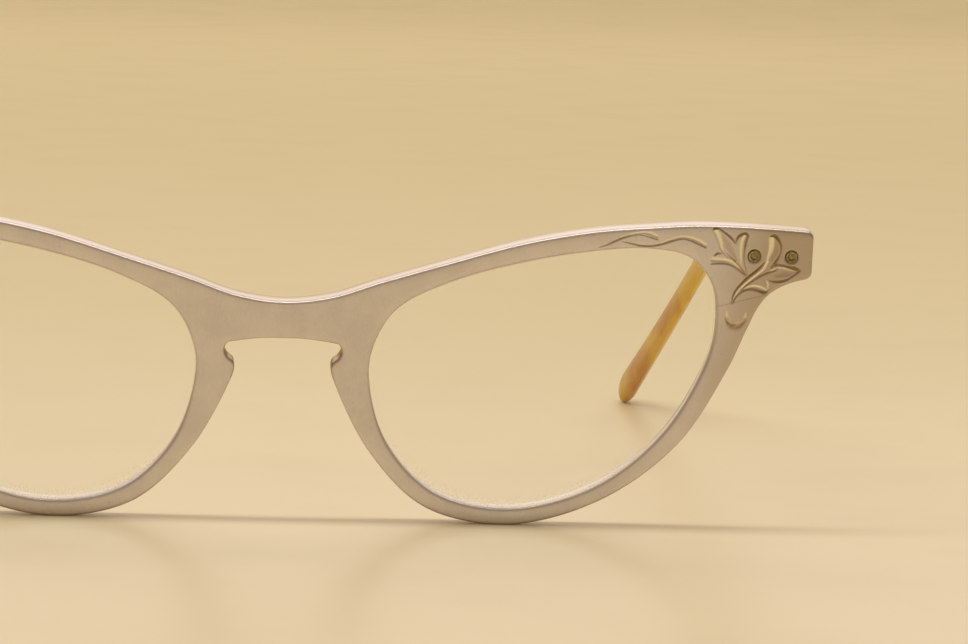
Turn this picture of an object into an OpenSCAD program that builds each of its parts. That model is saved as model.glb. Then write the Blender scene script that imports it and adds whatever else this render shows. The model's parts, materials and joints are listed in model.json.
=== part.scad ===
// Cat eye eyeglasses. A flat metal front with a keyhole bridge and upswept wings holds two
// curved lenses in grooved rims. Each rim is split below its wing and closed by a screw.
// Five-barrel hinges, riveted to the wings, carry flat metal temples with moulded tips.
//
// Lengths are in millimetres. The glasses stand on the bottoms of the rims and on the temple
// tips, facing -Y, and X is the wearer's left. The front is drawn flat, in plate coordinates:
// x to the wearer's left, y up the plate from the bottom of the rims, z out of its face. Depths
// behind the face are therefore negative z.

/* [Lenses] */
// Width of each lens opening between its walls
lens_w = 42.3; // [40:0.1:45]
// Height of each lens opening
lens_h = 33.3; // [31.5:0.1:35]
// Distance between the two lens openings
lens_gap = 21.2; // [19:0.1:23]
// Thickness of a lens
lens_t = 1.8; // [1.6:0.05:2]
// Radius of the front surface of a lens
lens_r = 130; // [120:1:160]
// How far the middle of a lens stands proud of the front
lens_proud = 0.75; // [0.6:0.05:0.85]
// Depth of the lens groove in the rim
groove_depth = 0.55; // [0.4:0.05:0.6]
// Width of the lens groove
groove_w = 0.8; // [0.6:0.05:0.9]
// Play between a lens and its rim
lens_play = 0.05; // [0.03:0.01:0.08]

/* [Front] */
// Thickness of the front
front_t = 3.5; // [3.4:0.1:4]
// Bevel along every edge of the front
edge_bevel = 0.3; // [0.15:0.05:0.35]
// Width of the rim beside the nose
rim_nose = 4.2; // [3.8:0.1:4.5]
// Width of the rim under the nose
rim_low_nose = 2.4; // [2.2:0.1:3]
// Width of the rim at the bottom
rim_bottom = 2.05; // [1.8:0.05:2.6]
// Width of the rim below the temple
rim_low_side = 1.95; // [1.8:0.05:2.6]
// Width of the rim beside the temple
rim_side = 2.75; // [2.4:0.05:3.2]
// Width of the rim above the lens
rim_top = 2.35; // [2:0.05:2.8]
// How far the brow stands above the lens opening at the wing
brow_rise = 3.1; // [2.8:0.1:3.6]

/* [Bridge] */
// Height of the underside of the bridge above the bottom of the rims
bridge_low = 23.05; // [22:0.05:24]
// Height of the bridge from its underside to the brow
bridge_h = 4.6; // [4:0.1:5.5]
// Width of the keyhole across its two notches
keyhole_w = 14.3; // [13.8:0.1:14.8]
// Width of the keyhole between its two points
keyhole_throat = 11.8; // [11.4:0.1:12.4]

/* [Wings] */
// How far a wing reaches past the lens opening
wing_reach = 11.4; // [11:0.1:13]
// Height of the end face of a wing
wing_end_h = 6.1; // [5.9:0.1:6.5]
// Fall of the brow from its highest point to the end of the wing
wing_fall = 0.4; // [0:0.05:0.8]
// Radius of the corners of a wing
wing_corner_r = 0.95; // [0.6:0.05:1.2]

/* [Rim closing] */
// Distance of the saw cut through the rim below the top of the opening
split_drop = 6.9; // [6.6:0.05:7.2]
// Rise of the saw cut towards the end of the wing, in degrees
split_rise = 12; // [6:1:14]
// Width of the saw cut
split_w = 0.12; // [0.08:0.01:0.2]
// Shank diameter of the closing screw
rim_screw_d = 1.3; // [1.1:0.05:1.4]
// Head diameter of the closing screw
rim_screw_head_d = 2.1; // [1.9:0.05:2.2]
// Head height of the closing screw
rim_screw_head_h = 0.9; // [0.6:0.05:1]
// Thickness of the rim that the screw clamps under the cut
rim_screw_grip = 1.8; // [1.5:0.05:2]
// How far the screw reaches past the cut
rim_screw_reach = 2.4; // [2:0.1:2.8]
// Metal between the lens groove and the head of the closing screw
rim_screw_wall = 0.8; // [0.75:0.05:0.9]

/* [Hinges] */
// Distance of the hinge from the end of the wing
hinge_inset = 4.9; // [4.8:0.1:5.3]
// Height of the hinge axis centre below the top of the wing
hinge_drop = 3.65; // [3.5:0.05:3.8]
// Outer diameter of the barrels
barrel_d = 2.4; // [2.2:0.1:2.6]
// Height of one barrel
barrel_h = 0.9; // [0.8:0.02:1]
// Gap between neighbouring barrels
barrel_gap = 0.05; // [0.04:0.01:0.08]
// Clearance of a turning barrel from what is round it
swing_play = 0.1; // [0.08:0.01:0.14]
// Thickness of the hinge leaves
leaf_t = 0.9; // [0.7:0.05:1]
// Length of the leaf on the front
front_leaf_w = 7.6; // [7.4:0.1:7.8]
// Length of the leaf on the temple, from the hinge axis
temple_leaf_w = 11.5; // [10.5:0.1:14]
// Edge of the bar that stays bare above and below its leaf
temple_leaf_edge = 0.4; // [0.3:0.05:0.5]
// Diameter of the hinge screw
pin_d = 1.2; // [1:0.05:1.4]
// Radial running clearance of the hinge screw
pin_play = 0.05; // [0.02:0.01:0.08]
// Head diameter of the hinge screw
pin_head_d = 2.1; // [1.8:0.1:2.2]
// Head height of the hinge screw
pin_head_h = 0.4; // [0.3:0.05:0.5]

/* [Rivets] */
// Shank diameter of a rivet
rivet_d = 1.2; // [1:0.05:1.3]
// Diameter of the flush ends of a rivet
rivet_head_d = 1.7; // [1.5:0.05:1.9]
// Depth of the flush end on the show side
rivet_head_h = 0.45; // [0.3:0.05:0.6]
// Depth of the flush end on the leaf
rivet_tail_h = 0.3; // [0.2:0.05:0.4]
// Diameter of the dimple in the show end
rivet_dimple_d = 1.05; // [0.7:0.05:1.2]
// Depth of the dimple
rivet_dimple_h = 0.15; // [0.05:0.05:0.25]
// Radial play of a rivet in its holes
rivet_play = 0.02; // [0.01:0.01:0.04]
// Distance between the two rivets of a front leaf
front_rivet_gap = 4.6; // [4.5:0.05:4.8]
// Distance of the first temple rivet from the hinge axis
temple_rivet_at = 4.3; // [4:0.1:4.8]
// Distance between the two rivets of a temple leaf
temple_rivet_gap = 4.2; // [3.6:0.1:4.6]

/* [Temples] */
// Angle of a temple below the square to the front, in degrees
panto = 13.5; // [12:0.5:15]
// Angle by which a temple stands outwards from the square to the front, in degrees
temple_splay = 1; // [0:0.5:3]
// Length of the metal bar that shows, from the hinge axis
bar_len = 62; // [56:0.5:66]
// Thickness of the bar
bar_t = 1.9; // [1.6:0.1:2.2]
// Height of the bar at the hinge
bar_hinge_h = 5.2; // [5:0.1:5.4]
// Height of the bar where it enters the tip
bar_tip_h = 4.1; // [3.6:0.1:4.4]
// Bevel along the edges of the bar
bar_bevel = 0.25; // [0.15:0.05:0.35]
// Gap between the end of the bar and the leaf that it stops against
butt_gap = 0.2; // [0.2:0.05:0.3]
// Length of the tang inside the tip
tang_len = 15; // [10:0.5:16]
// Height of the tang
tang_h = 2.4; // [2:0.1:2.8]
// Thickness of the tang
tang_t = 0.9; // [0.7:0.05:1]
// Play round the tang
tang_play = 0.05; // [0.02:0.01:0.08]

/* [Temple tips] */
// Distance of the bend behind the hinge axis
bend_at = 84; // [80:0.5:88]
// Radius of the bend on the centre line
bend_r = 20; // [16:0.5:24]
// Angle of the bend, in degrees
bend_angle = 28; // [24:0.5:34]
// Length of the tip behind the bend
tip_drop_len = 39.5; // [36:0.5:43]
// Height of the tip where it meets the bar
tip_start_h = 4.6; // [4.5:0.1:5]
// Height of the tip at its end
tip_end_h = 6.2; // [5.6:0.1:7]
// Thickness of the tip where it meets the bar
tip_start_t = 2.3; // [2.2:0.05:2.6]
// Thickness of the tip at its end
tip_end_t = 3.1; // [2.6:0.1:3.4]
// How far the end of the tip bows in towards the head
tip_bow = 7.3; // [5.5:0.1:9]

/* [Hidden] */
$fn = 48;
// Extra reach of every cutter past the surface that it opens
over = 0.5;
// The same for the bevels, which have to clear the tight curves of the keyhole
ring_over = 0.1;
// Points between two neighbouring points of an outline
span_steps = 5;

// Lens opening, as shares of its half width and half height about its centre, from the side
// of the nose down round the bottom to the temple and back along the brow
OPENING = [
    [-1.00, -0.04], [-0.89, -0.51], [-0.60, -0.885], [-0.16, -1.00], [0.33, -0.82],
    [0.72, -0.40], [0.955, 0.15], [1.00, 0.44], [0.97, 0.73], [0.83, 0.94],
    [0.60, 1.00], [0.30, 0.978], [-0.10, 0.888], [-0.55, 0.715], [-0.86, 0.49],
    [-0.985, 0.20]
];
// Width of the rim at each point of the opening from the nose to the hinge
rim_lower = [rim_nose, rim_low_nose, (rim_low_nose + rim_bottom) / 2, rim_bottom, rim_low_side,
    (rim_low_side + rim_side) / 2, rim_side];
// Width of the brow at the points of the opening from the wing back to the nose
rim_upper = [rim_top + 0.1, rim_top - 0.05, rim_top];

lens_x = lens_gap / 2 + lens_w / 2;
lens_y = rim_bottom + lens_h / 2;
open_out = lens_gap / 2 + lens_w;
open_top = rim_bottom + lens_h;
wing_x = open_out + wing_reach;
wing_y = open_top + brow_rise;
brow_end_y = wing_y - wing_fall;
wing_low_y = brow_end_y - wing_end_h;

hinge_x = wing_x - hinge_inset;
hinge_y = wing_y - hinge_drop;
barrel_r = barrel_d / 2;
hinge_z = -(front_t + barrel_r + swing_play);
stack_h = 5 * barrel_h + 4 * barrel_gap;
leaf_z = -(front_t + leaf_t);
bar_x = hinge_x + barrel_r + swing_play;
bore_r = pin_d / 2 + pin_play;
front_rivet_x = [hinge_x - front_rivet_gap / 2, hinge_x + front_rivet_gap / 2];

split_y = open_top - split_drop;
// Place of the closing screw along the saw cut, and its seat below the cut
rim_screw_x = groove_depth + rim_screw_wall + rim_screw_head_d / 2;
rim_screw_seat = -split_w / 2 - rim_screw_grip;
// Reach of the counterbore below the seat, far enough to open the underside of the rim
counterbore_reach = 6;

// Power by which a tip bows in as it falls
tip_bow_power = 1.1;
// Centre of the round end of a tip, as depth and height, where the splay of the temple puts it
tip_round_r = tip_end_h / 2;
tip_run = bend_at + bend_r * bend_angle * PI / 180 + tip_drop_len;
tip_mid = temple_line(tip_run - tip_round_r);
tip_seat = [(tip_mid[0] + hinge_z) * cos(temple_splay) - hinge_z
    - (tip_x(tip_mid[1]) - hinge_x) * sin(temple_splay), tip_mid[1]];
// The glasses lean until the rims and the tips meet the table together
stand_tilt = atan2(-tip_seat[1], tip_seat[0] - edge_bevel)
    + asin(tip_round_r / norm([tip_seat[0] - edge_bevel, tip_seat[1]]));
stand_z = -edge_bevel * sin(stand_tilt);
front_reach = (wing_y - edge_bevel) * sin(stand_tilt);
back_reach = tip_seat[0] * cos(stand_tilt) - tip_seat[1] * sin(stand_tilt) + tip_round_r;
stand_y = (front_reach - back_reach) / 2;

// Point at the share t between p1 and p2 of the centripetal curve through p0, p1, p2 and p3
function through(p0, p1, p2, p3, t) =
    let (a = sqrt(norm(p1 - p0)), b = a + sqrt(norm(p2 - p1)), c = b + sqrt(norm(p3 - p2)))
    let (s = a + (b - a) * t)
    let (q0 = mix(p0, p1, s / a), q1 = mix(p1, p2, (s - a) / (b - a)))
    let (q2 = mix(p2, p3, (s - b) / (c - b)))
    mix(mix(q0, q1, s / b), mix(q1, q2, (s - a) / (c - a)), (s - a) / (b - a));

function mix(a, b, t) = a + (b - a) * t;

// Smooth closed curve through points
function loop(pts) =
    let (n = len(pts))
    [for (i = [0 : n - 1], k = [0 : span_steps - 1])
        through(pts[(i + n - 1) % n], pts[i], pts[(i + 1) % n], pts[(i + 2) % n], k / span_steps)];

// Smooth curve from the second point to the last but one, which it leaves out
function strand(pts) =
    [for (i = [1 : len(pts) - 3], k = [0 : span_steps - 1])
        through(pts[i - 1], pts[i], pts[i + 1], pts[i + 2], k / span_steps)];

// Unit vectors out of an anticlockwise outline at its points
function outward(pts) =
    let (n = len(pts))
    [for (i = [0 : n - 1])
        let (d = pts[(i + 1) % n] - pts[(i + n - 1) % n])
        [d[1], -d[0]] / norm(d)];

// Outline moved out by a distance at each point
function moved(pts, by) =
    let (out = outward(pts)) [for (i = [0 : len(pts) - 1]) pts[i] + out[i] * by];

function reversed(pts) = [for (i = [len(pts) - 1 : -1 : 0]) pts[i]];

function arc(x, y, r, from, to, steps) =
    [for (k = [0 : steps]) let (a = mix(from, to, k / steps)) [x + r * cos(a), y + r * sin(a)]];

open_marks = [for (p = OPENING) [lens_x + p[0] * lens_w / 2, lens_y + p[1] * lens_h / 2]];
open_out_of = outward(open_marks);
opening = loop(open_marks);

// Half of the outline of the front runs through marks: along the keyhole, the rim, the underside
// of the wing and the brow. First and last marks only steer the curve.
notch_y = bridge_low - 1.4;
throat_y = bridge_low - 3.1;
keyhole = [
    [-3, bridge_low - 0.08], [0, bridge_low], [3, bridge_low - 0.08],
    [keyhole_throat / 2 - 0.2, bridge_low - 0.45], [keyhole_w / 2 - 0.35, notch_y + 0.7],
    [keyhole_w / 2, notch_y - 0.1], [keyhole_w / 2 - 0.35, notch_y - 0.95],
    [keyhole_throat / 2 + 0.15, throat_y + 0.05], [keyhole_throat / 2, throat_y - 0.8]
];
rim_marks = [for (i = [0 : len(rim_lower) - 1]) open_marks[i] + open_out_of[i] * rim_lower[i]];
wing_under = [
    [open_out + rim_side + 1.05, wing_low_y - 6.45], [open_out + 5.1, wing_low_y - 3.55],
    [open_out + 6.4, wing_low_y - 1.9], [wing_x - 2.8, wing_low_y - 0.6],
    [wing_x - wing_corner_r + 0.3, wing_low_y + 0.05]
];
brow_marks = [
    for (i = [0 : len(rim_upper) - 1]) open_marks[i + 11] + open_out_of[i + 11] * rim_upper[i]];
brow_dip_x = lens_gap * 0.283;
// The top of a wing falls towards its end, at these shares of its reach
brow_wing = [for (p = [[0.38, wing_fall / 2], [0.83, 0], [1.27, 0]])
    [wing_x - p[0] * wing_reach, wing_y - p[1]]];
brow = concat(
    [[wing_x - wing_corner_r / 2, brow_end_y - 0.05], [wing_x - wing_corner_r, brow_end_y]],
    brow_wing,
    [[open_marks[10][0] + 1, wing_y - 0.3]],
    brow_marks,
    [[lens_gap / 2 + 0.6, bridge_low + bridge_h + 2.6], [brow_dip_x, bridge_low + bridge_h + 0.8],
        [0, bridge_low + bridge_h], [-brow_dip_x, bridge_low + bridge_h + 0.8]]
);
half_outline = concat(
    strand(concat(keyhole, rim_marks, wing_under, [[wing_x, wing_low_y + 0.3]])),
    arc(wing_x - wing_corner_r, wing_low_y + wing_corner_r, wing_corner_r, -70, 0, 4),
    arc(wing_x - wing_corner_r, brow_end_y - wing_corner_r, wing_corner_r, 0, 84, 5),
    strand(brow),
    [[0, bridge_low + bridge_h]]
);
outline = concat(half_outline,
    [for (i = [len(half_outline) - 2 : -1 : 1]) [-half_outline[i][0], half_outline[i][1]]]);

// Centre line of a temple in the side view, as depth behind the face and height up the plate
function temple_line(u, h = 0) =
    let (turn = max(0, min(bend_angle, (u - bend_at) / bend_r * 180 / PI)))
    let (rest = max(0, u - bend_at - bend_r * bend_angle * PI / 180))
    let (a = panto + turn, run = min(u, bend_at))
    [-hinge_z + run * cos(panto) + bend_r * (sin(a) - sin(panto)) + rest * cos(a) + h * sin(a),
        hinge_y - run * sin(panto) - bend_r * (cos(panto) - cos(a)) - rest * sin(a) + h * cos(a)];

// Half height of the bar at a distance from the hinge
function bar_half(u) =
    bar_tip_h / 2 + (bar_hinge_h - bar_tip_h) / 2 * pow(max(0, 1 - u / bar_len), 2);

// Plate coordinates to the standing glasses
module stand() translate([0, stand_y, stand_z]) rotate([90 + stand_tilt, 0, 0]) children();

// The wearer's left as drawn, or its mirror image on the right
module on_side(left) {
    if (left) children();
    else mirror([1, 0, 0]) children();
}

// A piece of a temple, turned out about the hinge axis
module on_temple(left) {
    stand() on_side(left) translate([hinge_x, 0, hinge_z]) rotate([0, -temple_splay, 0])
        translate([-hinge_x, 0, -hinge_z]) children();
}

// Ring of triangular section that cuts a 45 degree bevel along the edge of a flat piece, at z = 0.
// The outline runs anticlockwise round the piece, and clockwise round an opening in it.
module bevel_ring(pts, bevel) {
    n = len(pts);
    rings = [moved(pts, -bevel - ring_over), moved(pts, ring_over), moved(pts, ring_over)];
    heights = [ring_over, -bevel - ring_over, ring_over];
    polyhedron(
        points = [for (j = [0 : 2], p = rings[j]) [p[0], p[1], heights[j]]],
        faces = [for (j = [0 : 2], i = [0 : n - 1], half = [0, 1])
            let (a = j * n + i, b = j * n + (i + 1) % n)
            let (c = (j + 1) % 3 * n + i, d = (j + 1) % 3 * n + (i + 1) % n)
            half == 0 ? [a, c, d] : [a, d, b]],
        convexity = 10
    );
}

// The bevels along one outline of a flat piece, on its face and on its back
module bevel_both(pts, t, bevel) {
    bevel_ring(pts, bevel);
    translate([0, 0, -t]) mirror([0, 0, 1]) bevel_ring(pts, bevel);
}

// Flat side piece: a profile of depths and heights, extruded outwards from x
module side_piece(x, t, profile) {
    translate([x, 0, 0]) rotate([0, 90, 0]) linear_extrude(t) polygon(profile);
}

// Cylinder up the plate, from y0 to y1
module upright(x, z, r, y0, y1) {
    translate([x, y0, z]) rotate([-90, 0, 0]) cylinder(r = r, h = y1 - y0);
}

// Sphere shell of a lens, between two depths below its front surface
module lens_shell(from, to) {
    translate([lens_x, lens_y, lens_proud - lens_r]) difference() {
        sphere(r = lens_r - from, $fn = 160);
        sphere(r = lens_r - to, $fn = 160);
    }
}

// Part of a lens or of its groove: the shell between two depths, inside an outline
module lens_slice(shape, from, to) {
    intersection() {
        translate([0, 0, -front_t]) linear_extrude(front_t + lens_proud + over) polygon(shape);
        lens_shell(from, to);
    }
}

module opening_cut() {
    translate([0, 0, -front_t - over]) linear_extrude(front_t + 2 * over) polygon(opening);
    bevel_both(reversed(opening), front_t, edge_bevel);
    lens_slice(moved(opening, groove_depth), (lens_t - groove_w) / 2, (lens_t + groove_w) / 2);
}

// Where the saw cut meets the opening, with x along the cut
module at_split() {
    translate([open_out, split_y, 0]) rotate([0, 0, split_rise]) children();
}

// Saw cut, screw bore and counterbore that close the rim
module rim_closing_cut() {
    at_split() {
        translate([-2 * over, -split_w / 2, -front_t - over])
            cube([wing_reach, split_w, front_t + 2 * over]);
        upright(rim_screw_x, -front_t / 2, rim_screw_d / 2 + rivet_play,
            rim_screw_seat - over, rim_screw_reach + rivet_play);
        upright(rim_screw_x, -front_t / 2, rim_screw_head_d / 2 + rivet_play,
            rim_screw_seat - counterbore_reach, rim_screw_seat);
    }
}

// Hole for a front rivet, with room for its two flush ends
module front_rivet_hole(x) {
    translate([x, hinge_y, leaf_z - over])
        cylinder(d = rivet_d + 2 * rivet_play, h = front_t + leaf_t + 2 * over);
    translate([x, hinge_y, -rivet_head_h])
        cylinder(d = rivet_head_d + 2 * rivet_play, h = rivet_head_h + over);
    translate([x, hinge_y, leaf_z - over])
        cylinder(d = rivet_head_d + 2 * rivet_play, h = rivet_tail_h + over);
}

module front_frame() {
    color("rosybrown") stand() difference() {
        translate([0, 0, -front_t]) linear_extrude(front_t) polygon(outline);
        bevel_both(outline, front_t, edge_bevel);
        for (left = [true, false]) on_side(left) {
            opening_cut();
            rim_closing_cut();
            for (x = front_rivet_x) front_rivet_hole(x);
        }
    }
}

module lens(left) {
    rim_tongue = groove_w - 2 * lens_play;
    color([0.85, 0.9, 0.9, 0.35]) stand() on_side(left) union() {
        lens_slice(moved(opening, -lens_play), 0, lens_t);
        lens_slice(moved(opening, groove_depth - lens_play),
            (lens_t - rim_tongue) / 2, (lens_t + rim_tongue) / 2);
    }
}

module rim_screw(left) {
    slot_w = rim_screw_head_d / 6;
    slot_h = rim_screw_head_h / 2;
    head_y = rim_screw_seat - rim_screw_head_h;
    color("silver") stand() on_side(left) at_split() difference() {
        union() {
            upright(rim_screw_x, -front_t / 2, rim_screw_d / 2, rim_screw_seat - over,
                rim_screw_reach);
            upright(rim_screw_x, -front_t / 2, rim_screw_head_d / 2, head_y, rim_screw_seat);
        }
        translate([rim_screw_x - rim_screw_head_d, head_y - over, -front_t / 2 - slot_w / 2])
            cube([2 * rim_screw_head_d, slot_h + over, slot_w]);
    }
}

// Lowest point of barrel number i of five, counted upwards
function barrel_y(i) = hinge_y - stack_h / 2 + i * (barrel_h + barrel_gap);

// Three outer barrels on saddles, on a flat leaf that is notched for the temple's two barrels
module front_hinge(left) {
    low = hinge_y - stack_h / 2;
    inner = hinge_x - front_leaf_w / 2;
    corner = leaf_t;
    color("silver") stand() on_side(left) difference() {
        union() {
            translate([inner, low + corner, leaf_z])
                cube([front_leaf_w, stack_h - 2 * corner, leaf_t]);
            translate([inner + corner, low, leaf_z])
                cube([front_leaf_w - 2 * corner, stack_h, leaf_t]);
            for (x = [inner + corner, inner + front_leaf_w - corner])
                for (y = [low + corner, low + stack_h - corner])
                    translate([x, y, leaf_z]) cylinder(r = corner, h = leaf_t);
            for (i = [0, 2, 4]) {
                upright(hinge_x, hinge_z, barrel_r, barrel_y(i), barrel_y(i) + barrel_h);
                translate([hinge_x - barrel_r, barrel_y(i), hinge_z])
                    cube([barrel_d, barrel_h, -front_t - hinge_z]);
            }
        }
        for (i = [1, 3])
            translate([hinge_x - barrel_r - swing_play, barrel_y(i) - barrel_gap, leaf_z - over])
                cube([barrel_d + 2 * swing_play, barrel_h + 2 * barrel_gap, leaf_t + 2 * over]);
        upright(hinge_x, hinge_z, bore_r, low - over, low + stack_h + over);
        for (x = front_rivet_x) front_rivet_hole(x);
    }
}

// Rivet with its show end at the origin, facing +z, through a stack of the given thickness
module rivet(stack) {
    difference() {
        union() {
            translate([0, 0, -stack]) cylinder(d = rivet_d, h = stack);
            translate([0, 0, -rivet_head_h]) cylinder(d = rivet_head_d, h = rivet_head_h);
            translate([0, 0, -stack]) cylinder(d = rivet_head_d, h = rivet_tail_h);
        }
        translate([0, 0, -rivet_dimple_h]) cylinder(d = rivet_dimple_d, h = rivet_dimple_h + over);
    }
}

module front_rivet(left, x) {
    color("peru") stand() on_side(left) translate([x, hinge_y, 0]) rivet(front_t + leaf_t);
}

module hinge_screw(left) {
    low = hinge_y - stack_h / 2;
    slot_w = pin_head_d / 6;
    color("silver") stand() on_side(left) difference() {
        union() {
            upright(hinge_x, hinge_z, pin_d / 2, low, low + stack_h + pin_head_h / 2);
            upright(hinge_x, hinge_z, pin_head_d / 2, low + stack_h, low + stack_h + pin_head_h);
        }
        translate([hinge_x - pin_head_d, low + stack_h + pin_head_h / 2, hinge_z - slot_w / 2])
            cube([2 * pin_head_d, pin_head_h, slot_w]);
    }
}

// Side view of a temple leaf: square to the barrels in front, rounded behind
temple_leaf_r = bar_hinge_h / 2 - temple_leaf_edge;
temple_leaf_front = -hinge_z + barrel_r + swing_play;
temple_leaf_mid = hinge_y - (temple_leaf_front + hinge_z) * tan(panto);
temple_leaf = concat(
    [[temple_leaf_front, temple_leaf_mid + temple_leaf_r],
        [temple_leaf_front, temple_leaf_mid - temple_leaf_r]],
    [for (a = [-90 : 15 : 90])
        temple_line(temple_leaf_w - temple_leaf_r * (1 - cos(a)), temple_leaf_r * sin(a))]
);

// Hole for a temple rivet, with room for its two flush ends
module temple_rivet_hole(u) {
    at = temple_line(u);
    stack = bar_t + leaf_t;
    translate([bar_x - leaf_t - over, at[1], -at[0]]) rotate([0, 90, 0]) {
        cylinder(d = rivet_d + 2 * rivet_play, h = stack + 2 * over);
        cylinder(d = rivet_head_d + 2 * rivet_play, h = rivet_tail_h + over);
        translate([0, 0, over + stack - rivet_head_h])
            cylinder(d = rivet_head_d + 2 * rivet_play, h = rivet_head_h + over);
    }
}

temple_rivet_u = [temple_rivet_at, temple_rivet_at + temple_rivet_gap];

module temple_hinge(left) {
    arm = bar_x - leaf_t - hinge_x;
    color("silver") on_temple(left) difference() {
        union() {
            side_piece(bar_x - leaf_t, leaf_t, temple_leaf);
            for (i = [1, 3]) {
                upright(hinge_x, hinge_z, barrel_r, barrel_y(i), barrel_y(i) + barrel_h);
                translate([hinge_x + arm, barrel_y(i), -temple_leaf_front - over])
                    cube([barrel_r - arm, barrel_h, temple_leaf_front + over + hinge_z]);
            }
        }
        upright(hinge_x, hinge_z, bore_r, hinge_y - stack_h, hinge_y + stack_h);
        for (u = temple_rivet_u) temple_rivet_hole(u);
    }
}

module temple_rivet(left, u) {
    at = temple_line(u);
    color("peru") on_temple(left)
        translate([bar_x + bar_t, at[1], -at[0]]) rotate([0, 90, 0]) rivet(bar_t + leaf_t);
}

// Side view of the bar: a square end against the front leaf, and a long taper to the tip
bar_front = -leaf_z + butt_gap;
bar_steps = 10;
bar_profile = concat(
    [[bar_front, hinge_y + bar_hinge_h / 2], [bar_front, hinge_y - bar_hinge_h / 2]],
    [for (k = [1 : bar_steps]) let (u = bar_len * k / bar_steps) temple_line(u, -bar_half(u))],
    [for (k = [bar_steps : -1 : 1]) let (u = bar_len * k / bar_steps) temple_line(u, bar_half(u))]
);

// Side view of the tang, with a play round it
function tang_profile(play) =
    let (from = bar_len - over, to = bar_len + tang_len + play, h = tang_h / 2 + play)
    [temple_line(from, -h), temple_line(to, -h), temple_line(to, h), temple_line(from, h)];

module temple_bar(left) {
    color("rosybrown") on_temple(left) difference() {
        union() {
            difference() {
                side_piece(bar_x, bar_t, bar_profile);
                translate([bar_x + bar_t, 0, 0]) rotate([0, 90, 0])
                    bevel_both(bar_profile, bar_t, bar_bevel);
            }
            side_piece(bar_x + (bar_t - tang_t) / 2, tang_t, tang_profile(0));
        }
        for (u = temple_rivet_u) temple_rivet_hole(u);
    }
}

// Middle of the tip across the glasses, at a height: below the bend it bows in as it falls
function tip_x(y) =
    let (bend_y = temple_line(bend_at)[1])
    bar_x + bar_t / 2 - tip_bow * pow(max(0, (bend_y - y) / (bend_y - tip_mid[1])), tip_bow_power);

// Rings of the tip: it meets the bar almost square, turns elliptic by a third of its length, and
// swells towards its end
tip_steps = 26;
tip_sides = 16;
tip_mouth_power = 0.5;
function tip_ring(u, shrink) =
    let (k = (u - bar_len) / (tip_run - bar_len), power = mix(tip_mouth_power, 1, min(1, 3 * k)))
    let (half_t = mix(tip_start_t, tip_end_t, pow(k, 3)) / 2 * shrink)
    let (half_h = mix(tip_start_h, tip_end_h, pow(k, 3)) / 2 * shrink)
    [for (i = [0 : tip_sides - 1])
        let (a = 360 * i / tip_sides)
        let (p = temple_line(u, half_h * rounded(sin(a), power)))
        [tip_x(p[1]) + half_t * rounded(cos(a), power), p[1], -p[0]]];
function rounded(v, power) = sign(v) * pow(abs(v), power);

module temple_tip(left) {
    start = bar_len + tang_play;
    round_from = tip_run - tip_round_r;
    rings = concat(
        [for (k = [0 : tip_steps]) tip_ring(mix(start, round_from, k / tip_steps), 1)],
        [for (a = [15 : 15 : 75]) tip_ring(round_from + tip_round_r * sin(a), cos(a))]
    );
    n = tip_sides;
    last = len(rings) - 1;
    nose = tip_ring(tip_run, 0)[0];
    color("darkgoldenrod") on_temple(left) difference() {
        polyhedron(
            points = concat([for (ring = rings, p = ring) p], [nose]),
            faces = concat(
                [[for (i = [0 : n - 1]) i]],
                [for (j = [0 : last - 1], i = [0 : n - 1], half = [0, 1])
                    let (a = j * n + i, b = j * n + (i + 1) % n)
                    half == 0 ? [a, a + n, b] : [b, a + n, b + n]],
                [for (i = [0 : n - 1]) [last * n + i, (last + 1) * n, last * n + (i + 1) % n]]
            ),
            convexity = 6
        );
        side_piece(bar_x + (bar_t - tang_t) / 2 - tang_play, tang_t + 2 * tang_play,
            tang_profile(tang_play));
    }
}

front_frame();
lens(true);  // lens_left
lens(false);  // lens_right
rim_screw(true);  // rim_screw_left
rim_screw(false);  // rim_screw_right
front_hinge(true);  // front_hinge_left
front_hinge(false);  // front_hinge_right
front_rivet(true, front_rivet_x[0]);  // front_rivet_inner_left
front_rivet(false, front_rivet_x[0]);  // front_rivet_inner_right
front_rivet(true, front_rivet_x[1]);  // front_rivet_outer_left
front_rivet(false, front_rivet_x[1]);  // front_rivet_outer_right
hinge_screw(true);  // hinge_screw_left
hinge_screw(false);  // hinge_screw_right
temple_hinge(true);  // temple_hinge_left
temple_hinge(false);  // temple_hinge_right
temple_rivet(true, temple_rivet_u[0]);  // temple_rivet_fore_left
temple_rivet(false, temple_rivet_u[0]);  // temple_rivet_fore_right
temple_rivet(true, temple_rivet_u[1]);  // temple_rivet_aft_left
temple_rivet(false, temple_rivet_u[1]);  // temple_rivet_aft_right
temple_bar(true);  // temple_bar_left
temple_bar(false);  // temple_bar_right
temple_tip(true);  // temple_tip_left
temple_tip(false);  // temple_tip_right
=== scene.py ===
import json
from types import SimpleNamespace

import bmesh
import bpy
import numpy as np
from bpy.props import FloatProperty, FloatVectorProperty, IntProperty, PointerProperty
from mathutils import Matrix, Vector


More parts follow.
